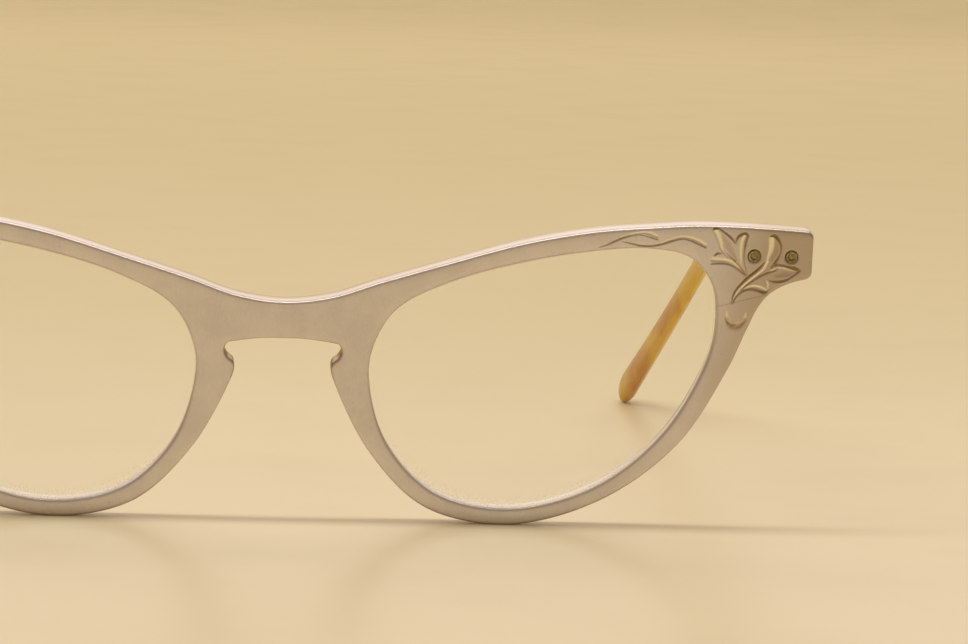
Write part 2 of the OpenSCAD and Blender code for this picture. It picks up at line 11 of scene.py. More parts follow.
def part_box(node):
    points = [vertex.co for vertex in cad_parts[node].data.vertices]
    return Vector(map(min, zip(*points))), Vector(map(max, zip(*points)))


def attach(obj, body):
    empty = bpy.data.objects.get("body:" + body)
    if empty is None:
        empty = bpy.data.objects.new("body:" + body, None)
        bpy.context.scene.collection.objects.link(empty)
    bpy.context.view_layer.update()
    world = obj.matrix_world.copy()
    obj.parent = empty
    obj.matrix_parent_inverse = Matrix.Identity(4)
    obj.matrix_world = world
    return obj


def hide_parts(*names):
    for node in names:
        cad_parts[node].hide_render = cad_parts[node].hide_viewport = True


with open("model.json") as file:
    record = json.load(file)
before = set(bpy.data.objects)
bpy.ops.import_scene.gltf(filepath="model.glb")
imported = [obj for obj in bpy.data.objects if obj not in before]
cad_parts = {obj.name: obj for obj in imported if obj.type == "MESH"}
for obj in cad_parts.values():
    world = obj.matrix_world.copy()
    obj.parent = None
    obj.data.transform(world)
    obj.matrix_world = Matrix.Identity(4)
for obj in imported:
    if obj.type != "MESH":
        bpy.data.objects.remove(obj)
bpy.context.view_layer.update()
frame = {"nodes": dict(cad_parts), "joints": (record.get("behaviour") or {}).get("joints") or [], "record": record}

bl_info = {
    "name": "Cat Eye Eyeglasses",
    "version": (1, 0, 0),
    "blender": (4, 5, 0),
    "location": "3D Viewport > Sidebar > Eyeglasses",
    "description": "Engraved metal front, clear lenses, riveted hinges and amber temple tips",
    "category": "Add Mesh",
}

MM = 0.001
SIDES = (("left", 1), ("right", -1))
JOINTS = {j["name"]: j for j in frame["joints"]}
MOUNTS = {m["name"]: m for m in frame["record"]["mounts"]}


# Properties

def length(name, text, mm):
    return FloatProperty(name=name, description=text, default=mm * MM, precision=5, unit="LENGTH")


def angle(name, text, degrees):
    return FloatProperty(name=name, description=text, default=np.radians(degrees), unit="ROTATION")


def share(name, text, value):
    return FloatProperty(name=name, description=text, default=value, min=0, max=1, subtype="FACTOR")


def colour(name, text, *rgb):
    return FloatVectorProperty(name=name, description=text, default=rgb, size=3, min=0, max=1,
                               subtype="COLOR")


class FrontSizes(bpy.types.PropertyGroup):
    """Real sizes of the metal front, in the flat of its plate"""
    lens_w: length("Lens Width", "Width of a lens opening", 42.3)
    lens_h: length("Lens Height", "Height of a lens opening", 33.3)
    lens_gap: length("Lens Gap", "Distance between the two openings", 21.2)
    front_t: length("Thickness", "Thickness of the front", 3.5)
    edge_round: length("Edge Radius", "Rounding along the edges of the face", 0.4)
    rear_round: length("Rear Edge Radius", "Rounding along the outer edge at the back", 0.8)
    shoulder: length("Shoulder", "How far in from a rounded edge the face starts to fall", 0.7)
    bridge_low: length("Bridge Underside", "Height of the bridge above the rim bottoms", 23.05)
    bridge_h: length("Bridge Height", "Height of the bridge itself", 4.6)
    keyhole_w: length("Keyhole Width", "Width across the two notches", 14.3)
    keyhole_throat: length("Keyhole Throat", "Width between the two points", 11.8)
    wing_reach: length("Wing Reach", "How far a wing reaches past its lens", 11.4)
    wing_end_h: length("Wing End", "Height of the end face of a wing", 6.1)
    wing_fall: length("Wing Fall", "Fall of the brow towards the end of a wing", 0.4)
    wing_corner_r: length("Wing Corner", "Radius of the corners of a wing", 0.95)
    brow_rise: length("Brow Rise", "Height of the brow above the opening", 3.1)
    split_drop: length("Split Drop", "Saw cut below the top of the opening", 6.9)
    split_rise: angle("Split Rise", "Rise of the saw cut towards the wing", 12)
    split_w: length("Split Width", "Width of the saw cut", 0.03)
    rivet_gap: length("Rivet Gap", "Distance between the two rivets of a wing", 4.6)
    groove_depth: length("Groove Depth", "Depth of the lens groove", 0.55)
    groove_w: length("Groove Width", "Width of the lens groove", 0.8)
    engraving_depth: length("Engraving Depth", "Depth of the widest engraved cuts", 0.3)


class LensSizes(bpy.types.PropertyGroup):
    """Real sizes of the lenses"""
    lens_t: length("Lens Thickness", "Thickness of a lens", 1.8)
    lens_r: length("Lens Radius", "Radius of its front surface", 130)
    lens_proud: length("Lens Proud", "How far its middle stands proud of the front", 0.75)
    lens_play: length("Lens Play", "Play between a lens and its rim", 0.05)


class TempleSizes(bpy.types.PropertyGroup):
    """Real sizes of the temples"""
    panto: angle("Slope", "Slope of a temple, square to the front at 0", 13.5)
    splay: angle("Splay", "How far a temple turns outwards from square to the front", 1)
    bar_len: length("Bar Length", "Length of the metal bar from the hinge", 62)
    bar_t: length("Bar Thickness", "Thickness of the bar", 1.9)
    bar_hinge_h: length("Bar Height at Hinge", "Height of the bar at the hinge", 5.2)
    bar_tip_h: length("Bar Height at Tip", "Height of the bar where it enters the tip", 4.1)
    bar_bevel: length("Bar Bevel", "Bevel along the edges of the bar", 0.25)
    bar_front: length("Bar Start", "Depth of the front end of the bar behind the face", 4.6)
    bar_beside: length("Bar Offset", "Distance of the bar from the middle of the hinge", 1.3)
    tang_len: length("Tang Length", "Length of the tang inside the tip", 15)
    tang_h: length("Tang Height", "Height of the tang", 2.4)
    tang_t: length("Tang Thickness", "Thickness of the tang", 0.9)
    bend_at: length("Bend Start", "Distance of the bend behind the hinge", 84)
    bend_r: length("Bend Radius", "Radius of the bend", 20)
    bend_angle: angle("Bend Angle", "Angle of the bend", 28)
    tip_drop_len: length("Tip Drop", "Length of the tip behind the bend", 39.5)
    tip_start_h: length("Tip Start Height", "Height of the tip at the bar", 4.6)
    tip_end_h: length("Tip End Height", "Height of the tip at its end", 6.2)
    tip_start_t: length("Tip Start Thickness", "Thickness of the tip at the bar", 2.3)
    tip_end_t: length("Tip End Thickness", "Thickness of the tip at its end", 3.1)
    tip_bow: length("Tip Bow", "How far the end of the tip bows inwards", 7.3)
    tip_bow_power: FloatProperty(name="Tip Bow Power", default=1.1, min=0.5, max=4,
                                 description="How late along the fall of the tip it bows inwards")


class Finishes(bpy.types.PropertyGroup):
    """Colours and finishes of the pieces"""
    anodised: colour("Anodised Metal", "Satin metal of the front and the bars", 0.735, 0.695, 0.69)
    # Painted shade: the metal's colour made darker towards the wings
    wing_shade: colour("Dulled Metal", "The same metal, gone duller towards the wings", 0.46, 0.375, 0.275)
    # Real shine of worn edges, and a painted sheen where the front's walls face up
    polished: colour("Polished Edge", "Bright metal of the edges and walls", 0.78, 0.745, 0.76)
    # Bare metal of the cuts, with a painted highlight
    cut_bright: colour("Bright Cut", "Metal laid bare by the engraver", 0.95, 0.90, 0.70)
    # Also the painted shade on the front's walls
    cut_dark: colour("Dark Cut", "Shaded wall of an engraved cut", 0.39, 0.275, 0.13)
    steel: colour("Steel", "Hinges and screws", 0.60, 0.58, 0.55)
    brass: colour("Rivet", "Rubbed brass of the rivets", 0.60, 0.53, 0.34)
    brass_dark: colour("Brown Rivet", "Brass gone brown", 0.30, 0.235, 0.105)
    darkening: colour("Grime", "What gathers in corners and pits", 0.09, 0.065, 0.035)
    amber: colour("Amber", "Light parts of the tips", 0.75, 0.49, 0.006)
    amber_deep: colour("Deep Amber", "Dark streaks and ends of the tips", 0.56, 0.235, 0.002)
    satin: share("Satin", "Roughness of the anodised metal", 0.36)


class StageSettings(bpy.types.PropertyGroup):
    """Camera, lamps and floor"""
    camera_x: length("Camera X", "Place of the camera", -21.66)
    camera_y: length("Camera Y", "Place of the camera", -654.37)
    camera_z: length("Camera Z", "Place of the camera", 90.57)
    camera_yaw: angle("Camera Yaw", "Turn of the camera to the right", 4.457)
    camera_pitch: angle("Camera Pitch", "Fall of the line of sight", 6.273)
    camera_roll: angle("Camera Roll", "Roll of the camera", 1.828)
    focal_px: FloatProperty(name="Focal Length", default=4884,
                            description="Focal length in pixels of the picture")
    picture_w: IntProperty(name="Picture Width", default=968, subtype="PIXEL",
                           description="Width of the picture that the focal length belongs to")
    floor_near: colour("Floor", "Floor in front", 0.85, 0.74, 0.51)
    floor_far: colour("Far Floor", "Floor behind the glasses", 0.755, 0.655, 0.385)
    floor_back: colour("Back of the Floor", "Floor far behind", 0.84, 0.74, 0.47)


def sizes(name):
    """The values of a group of sizes, with lengths in millimetres and angles in radians."""
    group = getattr(bpy.context.scene, "glasses_" + name)
    units = {key: group.bl_rna.properties[key].unit for key in group.__annotations__}
    return SimpleNamespace(**{key: getattr(group, key) / (MM if unit == "LENGTH" else 1)
                              for key, unit in units.items()})


# Shaders

class Value:
    """A shader socket that takes + - and *, each of which adds a Math node."""

    def __init__(self, shader, socket):
        self.shader = shader
        self.socket = socket

    def math(self, operation, *others):
        return self.shader.node("Math", dict(operation=operation),
                                dict(enumerate((self, *others))))

    def __add__(self, other):
        return self.math("ADD", other)

    def __sub__(self, other):
        return self.math("SUBTRACT", other)

    def __mul__(self, other):
        return self.math("MULTIPLY", other)

    def __rsub__(self, other):
        return self * -1 + other

    __radd__ = __add__
    __rmul__ = __mul__

    def step(self, low, high):
        """0 below low, 1 above high, and smooth between them."""
        return self.shader.node("MapRange", dict(interpolation_type="SMOOTHSTEP"),
                                {"Value": self, "From Min": low, "From Max": high})


class Shader:
    """One material and its nodes. Scales of patterns are in cycles per metre."""

    def __init__(self, name):
        self.material = bpy.data.materials.new(name)
        self.material.use_nodes = True
        self.tree = self.material.node_tree
        self.tree.nodes.clear()

    def node(self, kind, settings, inputs, output=0):
        """Makes a node and its settings, then links or sets its sockets. A colour gets an alpha
        of 1."""
        made = self.tree.nodes.new("ShaderNode" + kind)
        for key, value in settings.items():
            setattr(made, key, value)
        for key, value in inputs.items():
            socket = made.inputs[key]
            if isinstance(value, Value):
                self.tree.links.new(value.socket, socket)
            else:
                socket.default_value = (*value, 1) if socket.type == "RGBA" else value
        return Value(self, made.outputs[output]) if made.outputs else None

    def place(self):
        """Object coordinates, in metres."""
        return self.node("TexCoord", {}, {}, "Object")

    def along(self, axis):
        """One of the object coordinates."""
        return self.node("SeparateXYZ", {}, {"Vector": self.place()}, axis)

    def stretched(self, scale):
        """Object coordinates times a scale along each axis."""
        return self.node("Mapping", {}, {"Vector": self.place(), "Scale": scale})

    def attribute(self, name):
        return self.node("Attribute", dict(attribute_name=name), {}, "Fac")

    def noise(self, scale, detail=3.0, roughness=0.5, vector=None):
        return self.node("TexNoise", {}, {"Vector": vector or self.place(), "Scale": scale,
                                          "Detail": detail, "Roughness": roughness})

    def mix(self, factor, a, b):
        """Colour a where the factor is 0 and b where it is 1."""
        return self.node("Mix", dict(data_type="RGBA", clamp_factor=True),
                         {0: factor, 6: a, 7: b}, 2)

    def bump(self, height, distance):
        return self.node("Bump", {}, {"Height": height, "Distance": distance})

    def principled(self, **inputs):
        """A Principled BSDF, where base_color is its socket Base Color, and so on."""
        return self.node("BsdfPrincipled", {}, {
            key.replace("_", " ").title().replace("Ior", "IOR"): value
            for key, value in inputs.items()})

    def finish(self, surface):
        self.node("OutputMaterial", {}, {"Surface": surface})
        return self.material


# Scales of the metal's patterns. The grain is finer across the way the metal was rubbed.
FRONT_GRAIN = (3800, 3800, 2000)
BAR_GRAIN = (3800, 500, 3800)
SCRATCHES = (1400, 9000, 9000)
BLOTCHES, PITS, PIT_GROUPS = 210, 760, 1100
# Depths of the bumps in metres: grain and scratches, and what is rubbed or moulded
FINE_BUMP, SOFT_BUMP = 0.000004, 0.00004
# Painted shade towards the wings: distances in metres from the middle where it starts and where
# it is full, and how much they grow with the height
WING_SHADE_FROM, WING_SHADE_FULL, WING_SHADE_LEAN = 0.046, 0.055, 0.15
# Colours of the glass and of the dust on it, and the painted glow of the ground edge and of the
# dust, which stands in for the light that they scatter
GLASS, DUST = (0.985, 0.99, 0.98), (0.75, 0.70, 0.64)
EDGE_GLOW, DUST_GLOW = (0.32, 0.25, 0.15), (0.40, 0.35, 0.28)


def satin_metal(name, roughness, grain):
    """Anodised metal: a fine grain, slow blotches, dark pits, painted shade towards the ends of the
    wings, edges that shine, partly with a painted sheen, and the engraver's cuts, bare metal with a
    painted highlight and walls in painted shade."""
    colours = bpy.context.scene.glasses_finishes
    base = np.array(colours.anodised)
    sh = Shader(name)
    grainy = sh.noise(1.0, 4.0, 0.65, sh.stretched(grain))
    blotches = sh.noise(BLOTCHES, 3.0, 0.55)
    pits = sh.node("TexVoronoi", {}, {"Vector": sh.place(), "Scale": PITS})
    pitted = (1 - pits.step(0.02, 0.10)) * sh.noise(PIT_GROUPS, 2.0).step(0.54, 0.62)
    light = blotches.step(0.36, 0.64) * 0.55 + grainy.step(0.3, 0.7) * 0.45
    # Painted shade towards the wings, growing with the distance from the middle
    wing_shade = (sh.along("X").math("ABSOLUTE") - sh.along("Z") * WING_SHADE_LEAN).step(WING_SHADE_FROM, WING_SHADE_FULL)
    # The cuts' bare metal, with a painted highlight
    bare = sh.attribute("cut_bright")
    tone = sh.mix(light, base * 0.93, np.minimum(base * 1.06, 1))
    tone = sh.mix(wing_shade * 0.75, tone, colours.wing_shade)
    # The edge attribute: worn edges that shine and, on the front's walls that face up, a painted sheen
    tone = sh.mix(sh.attribute("edge") * (0.85 - wing_shade * 0.35), tone, colours.polished)
    tone = sh.mix(bare, tone, colours.cut_bright)
    # Painted shade of the cuts' walls and of the front's walls
    tone = sh.mix(sh.attribute("cut_dark"), tone, colours.cut_dark)
    tone = sh.mix(pitted * 0.45, tone, colours.darkening)
    rough = (roughness - 0.05) + grainy * 0.1 + bare * 0.04 + pitted * 0.2
    return sh.finish(sh.principled(base_color=tone, metallic=1.0, roughness=rough,
                                   normal=sh.bump(grainy - pitted * 4, FINE_BUMP)))


def rivet_metal():
    """Peened brass gone brown, with lighter spots where it is rubbed."""
    colours = bpy.context.scene.glasses_finishes
    sh = Shader("rivet_brass")
    spots = sh.noise(3200, 3.0, 0.6)
    rubbed = sh.noise(2100, 2.0, 0.5, sh.stretched((1.0, 1.0, 1.4)))
    # Darker on the wall of the rivet head's dimple and round its rim, and a little on the rest
    darkening = sh.attribute("darkening")
    tone = sh.mix(spots.step(0.42, 0.62), colours.brass_dark, colours.brass)
    tone = sh.mix(darkening, tone, colours.brass_dark)
    return sh.finish(sh.principled(base_color=tone, metallic=1.0,
                                   roughness=0.26 + spots * 0.2 + darkening * 0.2,
                                   normal=sh.bump(spots + rubbed * 2, SOFT_BUMP)))


def steel_metal(name, shade, roughness):
    """Brushed steel times a shade, with fine scratches along X and a few darker, rougher spots."""
    colours = bpy.context.scene.glasses_finishes
    base = np.array(colours.steel) * shade
    sh = Shader(name)
    scratches = sh.noise(1.0, 4.0, 0.6, sh.stretched(SCRATCHES))
    tarnish_and_shade = sh.noise(700, 4.0, 0.6)
    tone = sh.mix(tarnish_and_shade.step(0.52, 0.75) * 0.55, base, base * 0.5)
    rough = roughness + scratches * 0.16 + tarnish_and_shade.step(0.5, 0.8) * 0.2
    return sh.finish(sh.principled(base_color=tone, metallic=1.0, roughness=rough,
                                   normal=sh.bump(scratches, FINE_BUMP)))


def lens_glass():
    """Clear glass with a ground edge, and with dust along the lower rim. Both are given a painted
    glow, which stands in for the light that they scatter from behind the lens."""
    sh = Shader("clear_lens")
    glass = sh.principled(base_color=GLASS, roughness=0.01, ior=1.5, transmission_weight=1.0)
    dusty = sh.attribute("dust")
    # Painted glow of the ground edge and of the dust
    glow = sh.mix(dusty, EDGE_GLOW, DUST_GLOW)
    dust = sh.principled(base_color=DUST, roughness=0.9, emission_color=glow,
                         emission_strength=1.0)
    specks = sh.noise(3400, 5.0, 0.7).step(0.54, 0.62)
    film = sh.noise(700, 3.0).step(0.40, 0.75)
    amount = dusty * (specks * 0.7 + film * 0.1) + sh.attribute("ground")
    return sh.finish(sh.node("MixShader", {}, {0: amount, 1: glass, 2: dust}))


def amber_plastic():
    """Polished amber plastic: yellow clouds over deep orange streaks that run along the tip, and
    a deeper colour towards its end."""
    colours = bpy.context.scene.glasses_finishes
    sh = Shader("amber_tip")
    cloud = sh.noise(1.0, 4.0, 0.55, sh.stretched((260, 60, 110)))
    fine = sh.noise(1500, 3.0)
    towards_end = sh.along("Y").step(0.018, 0.062)
    streaks = cloud.step(0.44, 0.66) * 0.8 + towards_end * 0.35
    tone = sh.mix(streaks, colours.amber, colours.amber_deep)
    tone = sh.mix(fine.step(0.6, 0.8) * 0.2, tone, np.array(colours.amber_deep) * 0.6)
    return sh.finish(sh.principled(
        base_color=tone, roughness=0.2 + fine * 0.1, specular_ior_level=0.25, coat_weight=0.06,
        coat_roughness=0.1, subsurface_weight=0.12, subsurface_scale=0.002,
        subsurface_radius=(1.0, 0.5, 0.12), normal=sh.bump(sh.noise(220, 2.0), SOFT_BUMP)))


# The plate of the front

# Directions up the plate and out of its face, and the middle between the two lens seats
UP = np.array(JOINTS["fold_left"]["axis"])
FACE = np.array(MOUNTS["front_face"]["axis"])
MIDDLE = np.array(MOUNTS["lens_seat_left"]["pos_m"]) * [0, 1, 1]


def from_plate(points, side=1):
    """Plate coordinates in millimetres (across, up the plate, out of its face) to the glasses'
    own frame in metres: the middle, plus each coordinate along its own direction. The side is 1
    for the wearer's left and -1 for the right."""
    points = np.asarray(points, float)
    across = points[..., 0:1] * side * MM
    up = (points[..., 1:2] - lens_centre(sizes("front"))[1]) * MM
    return MIDDLE + across * [1, 0, 0] + up * UP + points[..., 2:3] * MM * FACE


def to_plate(points):
    """The inverse of from_plate, for the left side."""
    rest = (np.asarray(points) - MIDDLE) / MM
    return np.stack([rest[..., 0], rest @ UP + lens_centre(sizes("front"))[1], rest @ FACE], -1)


def hinge_place():
    """Plate coordinates of the left hinge."""
    return to_plate(JOINTS["fold_left"]["pos_m"])


# Marks of an opening, anticlockwise from its inner side, as shares of its half width and height,
# and widths of the rim at the first seven of them and at numbers 11 to 13, along the brow
RIM_LOWER = np.array([4.2, 2.4, 2.225, 2.05, 1.95, 2.35, 2.75])
RIM_UPPER = np.array([2.45, 2.3, 2.35])
RIM_BOTTOM = RIM_LOWER[3]
OPENING = np.array([
    (-1.00, -0.04), (-0.89, -0.51), (-0.60, -0.885), (-0.16, -1.00), (0.33, -0.82),
    (0.72, -0.40), (0.955, 0.15), (1.00, 0.44), (0.97, 0.73), (0.83, 0.94),
    (0.60, 1.00), (0.30, 0.978), (-0.10, 0.888), (-0.55, 0.715), (-0.86, 0.49),
    (-0.985, 0.20)])
FINE = 40  # steps of a curve between two marks


def lens_centre(s):
    return np.array([(s.lens_gap + s.lens_w) / 2, RIM_BOTTOM + s.lens_h / 2])


def smooth(marks, closed=False, steps=FINE):
    """Centripetal Catmull-Rom curve: between two marks it blends the lines through their
    neighbours, with knots as far apart as the square root of the distance. An open curve starts
    at the second mark, and its last two marks are left out."""
    m = np.asarray(marks, float)
    if closed:
        m = np.concatenate([m[-1:], m, m[:2]])
    p0, p1, p2, p3 = m[:-3, None], m[1:-2, None], m[2:-1, None], m[3:, None]

    def knot(a, b):
        return np.sqrt(np.linalg.norm(b[..., :2] - a[..., :2], axis=-1, keepdims=True))

    a = knot(p0, p1)
    b = a + knot(p1, p2)
    c = b + knot(p2, p3)
    s = a + (b - a) * (np.arange(steps) / steps)[None, :, None]
    q0 = p0 + (p1 - p0) * s / a
    q1 = p1 + (p2 - p1) * (s - a) / (b - a)
    q2 = p2 + (p3 - p2) * (s - b) / (c - b)
    r0 = q0 + (q1 - q0) * s / b
    r1 = q1 + (q2 - q1) * (s - a) / (c - a)
    return (r0 + (r1 - r0) * (s - a) / (b - a)).reshape(-1, m.shape[1])


def outward(points):
    """Unit vectors out of an anticlockwise closed outline: its tangent turned by a quarter."""
    d = np.roll(points, -1, 0) - np.roll(points, 1, 0)
    return np.stack([d[:, 1], -d[:, 0]], 1) / np.linalg.norm(d, axis=1, keepdims=True)


def arc(centre, r, start, end, steps=FINE):
    turn = np.radians(np.linspace(start, end, steps))
    return np.asarray(centre) + r * np.stack([np.cos(turn), np.sin(turn)], 1)


def opening_marks(s):
    return lens_centre(s) + OPENING * [s.lens_w / 2, s.lens_h / 2]


def opening_curve(s):
    return smooth(opening_marks(s), closed=True)


NOTCH_DROP = 1.4  # of the keyhole's notches below the bridge
THROAT_DROP = 3.1  # of its points below the bridge


def half_outline(s):
    """Outline of the wearer's left half, from the bridge's underside round to its top, and the
    places along it of the marks that the spokes aim at. Numbers beside a size move one mark, in
    millimetres."""
    marks = opening_marks(s)
    out = outward(marks)
    open_out = s.lens_gap / 2 + s.lens_w
    wing_x = open_out + s.wing_reach
    wing_y = RIM_BOTTOM + s.lens_h + s.brow_rise
    end_y = wing_y - s.wing_fall
    low_y = end_y - s.wing_end_h
    corner = s.wing_corner_r
    notch = s.bridge_low - NOTCH_DROP
    throat = s.bridge_low - THROAT_DROP
    top = s.bridge_low + s.bridge_h
    keyhole = [
        (-3, s.bridge_low - 0.08), (0, s.bridge_low), (3, s.bridge_low - 0.08),
        (s.keyhole_throat / 2 - 0.2, s.bridge_low - 0.45), (s.keyhole_w / 2 - 0.35, notch + 0.7),
        (s.keyhole_w / 2, notch - 0.1), (s.keyhole_w / 2 - 0.35, notch - 0.95),
        (s.keyhole_throat / 2 + 0.15, throat + 0.05), (s.keyhole_throat / 2, throat - 0.8)]
    rim = marks[:7] + out[:7] * RIM_LOWER[:, None]
    under = [
        (open_out + RIM_LOWER[6] + 1.05, low_y - 6.45), (open_out + 5.1, low_y - 3.55),
        (open_out + 6.4, low_y - 1.9), (wing_x - 2.8, low_y - 0.6),
        (wing_x - corner + 0.3, low_y + 0.05), (wing_x, low_y + 0.3)]
    wing = [(wing_x - p * s.wing_reach, wing_y - fall)
            for p, fall in ((0.38, s.wing_fall / 2), (0.83, 0), (1.27, 0))]
    brow = [(wing_x - corner / 2, end_y - 0.05), (wing_x - corner, end_y), *wing,
            (marks[10, 0] + 1, wing_y - 0.3), *(marks[11:14] + out[11:14] * RIM_UPPER[:, None]),
            (s.lens_gap / 2 + 0.6, top + 2.6), (s.lens_gap * 0.283, top + 0.8), (0, top),
            (-s.lens_gap * 0.283, top + 0.8)]
    lower = smooth([*keyhole, *rim, *under])
    upper = smooth(brow)
    corners = [arc((wing_x - corner, low_y + corner), corner, -70, 0),
               arc((wing_x - corner, end_y - corner), corner, 0, 84)]
    line = np.concatenate([lower, *corners, upper, [(0, top)]])
    brow_at = len(lower) + 2 * FINE
    aims = {"notch": 4 * FINE, "rim": [(8 + k) * FINE for k in range(7)],
            "brow": [brow_at + k * FINE for k in (4, 5, 6, 7)], "end": len(line) - 1}
    return line, aims


# Engraving of a wing, as marks in the plate, each given as across, up, and half the width of
# the cut there. A gouge is a wide bright scoop. A line is a narrow deep cut with a dark wall.
# A hollow is the faintly shaded bowl of a leaf.
# Bright gouges are bare metal with a painted highlight; dark lines and hollows are painted shade
GOUGES = {
    "wave_fore": (
        (40.6, 36.75, 0.06), (41.78, 37.13, 0.12), (43.02, 37.38, 0.16), (44.11, 37.35, 0.2),
        (44.95, 37.02, 0.24)),
    "wave_aft": (
        (45.6, 36.2, 0.06), (46.8, 36.67, 0.12), (48.03, 37.0, 0.17), (49.13, 36.92, 0.22),
        (50.25, 36.53, 0.26), (50.98, 36.08, 0.26)),
    "petal_left": (
        (52.25, 37.72, 0.3), (52.6, 37.07, 0.33), (52.84, 36.35, 0.28), (53.1, 35.63, 0.25),
        (53.65, 34.98, 0.19), (54.3, 34.31, 0.12), (54.95, 33.6, 0.06)),
    "petal_middle": (
        (55.75, 37.26, 0.23), (55.46, 36.31, 0.23), (55.38, 35.38, 0.18), (55.41, 34.55, 0.14),
        (55.54, 33.92, 0.06)),
    "leaf_low_left": (
        (52.05, 34.28, 0.32), (52.77, 34.25, 0.29), (53.69, 34.18, 0.23), (54.52, 33.9, 0.19),
        (55.16, 33.44, 0.14), (55.8, 32.8, 0.06)),
    "stem": (
        (54.78, 29.4, 0.06), (55.28, 30.27, 0.11), (55.95, 31.08, 0.13), (56.73, 31.78, 0.15),
        (57.6, 32.48, 0.18), (58.34, 33.2, 0.18), (58.72, 34.1, 0.2)),
    "leaf_upright": (
        (59.1, 37.0, 0.36), (59.12, 36.1, 0.36), (59.0, 35.2, 0.29), (58.75, 34.4, 0.17)),
    "leaf_right": (
        (59.2, 33.05, 0.05), (59.9, 33.35, 0.08), (60.7, 33.38, 0.09), (61.5, 33.2, 0.09),
        (62.25, 32.98, 0.06)),
    "leaf_low": (
        (56.1, 30.72, 0.1), (56.92, 31.0, 0.2), (57.74, 30.97, 0.23), (58.37, 30.76, 0.22),
        (58.8, 30.6, 0.17)),
    "hook": ((58.75, 31.7, 0.08), (58.95, 31.35, 0.1), (58.95, 30.95, 0.1), (59.1, 30.62, 0.08)),
    "crescent": (
        (54.05, 27.75, 0.14), (54.16, 27.0, 0.24), (54.6, 26.42, 0.26), (55.32, 26.25, 0.26),
        (55.98, 26.45, 0.26), (56.34, 27.05, 0.22), (56.43, 27.6, 0.12)),
}
LINES = {
    "wave_fore": (
        (38.0, 35.44, 0.05), (39.03, 35.83, 0.08), (40.1, 36.37, 0.1), (41.17, 36.83, 0.1),
        (42.24, 37.1, 0.08), (43.3, 37.12, 0.06), (44.3, 36.86, 0.07), (45.12, 36.6, 0.08)),
    "wave_aft": (
        (40.73, 36.3, 0.04), (41.99, 36.02, 0.08), (43.25, 35.75, 0.1), (44.35, 35.76, 0.1),
        (45.58, 36.0, 0.1), (46.81, 36.42, 0.1), (48.05, 36.73, 0.08), (48.99, 36.62, 0.08),
        (49.95, 36.24, 0.09), (51.05, 35.76, 0.1)),
    "petal_left_top": (
        (52.0, 38.12, 0.16), (52.35, 38.16, 0.14), (52.88, 38.0, 0.11), (53.62, 37.47, 0.12),
        (54.31, 36.88, 0.12), (54.7, 36.4, 0.08)),
    "petal_left_edge": (
        (53.14, 36.1, 0.05), (53.47, 35.33, 0.07), (54.2, 34.6, 0.1), (55.04, 33.84, 0.1),
        (56.0, 32.7, 0.11), (56.42, 32.1, 0.08)),
    "petal_middle_top": (
        (54.69, 36.45, 0.08), (54.96, 37.15, 0.13), (55.45, 37.5, 0.14), (55.95, 37.58, 0.16),
        (56.24, 37.35, 0.12)),
    "petal_middle_edge": (
        (56.2, 37.4, 0.1), (55.96, 36.43, 0.13), (55.86, 35.39, 0.11), (55.86, 34.56, 0.09),
        (56.04, 33.52, 0.07), (56.38, 32.17, 0.07)),
    "leaf_low_left_top": ((52.2, 34.78, 0.1), (52.55, 35.04, 0.12), (53.1, 35.08, 0.05)),
    "leaf_low_left_edge": (
        (51.84, 33.72, 0.07), (52.7, 33.8, 0.09), (53.72, 33.8, 0.1), (54.55, 33.56, 0.1),
        (55.28, 33.1, 0.1), (55.98, 32.55, 0.09)),
    "stem_left": (
        (54.6, 28.75, 0.06), (54.72, 29.63, 0.1), (55.11, 30.58, 0.12), (55.78, 31.43, 0.13),
        (56.46, 32.16, 0.14), (57.14, 32.73, 0.14), (57.82, 33.38, 0.12), (58.42, 34.12, 0.08)),
    "stem_right": (
        (55.35, 30.05, 0.05), (56.1, 30.95, 0.08), (56.89, 31.64, 0.1), (57.68, 32.18, 0.1),
        (58.47, 32.62, 0.1), (59.27, 32.93, 0.09), (59.97, 33.12, 0.06)),
    "leaf_upright_top": (
        (59.05, 37.34, 0.14), (59.46, 37.4, 0.18), (59.87, 37.08, 0.18), (60.2, 36.62, 0.12)),
    "leaf_upright_edge": (
        (60.12, 36.8, 0.12), (60.36, 36.13, 0.12), (60.26, 35.29, 0.1), (59.9, 34.45, 0.12),
        (59.43, 33.74, 0.12), (59.2, 33.45, 0.08)),
    "leaf_right_top": (
        (59.2, 33.5, 0.08), (59.93, 33.8, 0.11), (60.75, 33.75, 0.12), (61.59, 33.52, 0.15),
        (62.31, 33.36, 0.18), (62.74, 33.18, 0.15)),
    "leaf_right_edge": (
        (62.7, 33.1, 0.12), (61.96, 32.43, 0.1), (61.17, 31.9, 0.12), (60.26, 31.66, 0.12),
        (59.55, 31.7, 0.1), (59.05, 31.9, 0.05)),
    "crescent_edge": (
        (53.92, 27.2, 0.05), (54.1, 26.6, 0.1), (54.6, 26.08, 0.16), (55.32, 25.92, 0.18),
        (56.02, 26.12, 0.16), (56.48, 26.75, 0.08)),
    "leaf_low_edge": (
        (54.78, 28.8, 0.06), (55.06, 29.6, 0.1), (55.64, 30.2, 0.1), (56.23, 30.52, 0.1),
        (56.94, 30.63, 0.1), (57.77, 30.47, 0.11), (58.5, 30.26, 0.13), (58.88, 30.34, 0.1)),
}
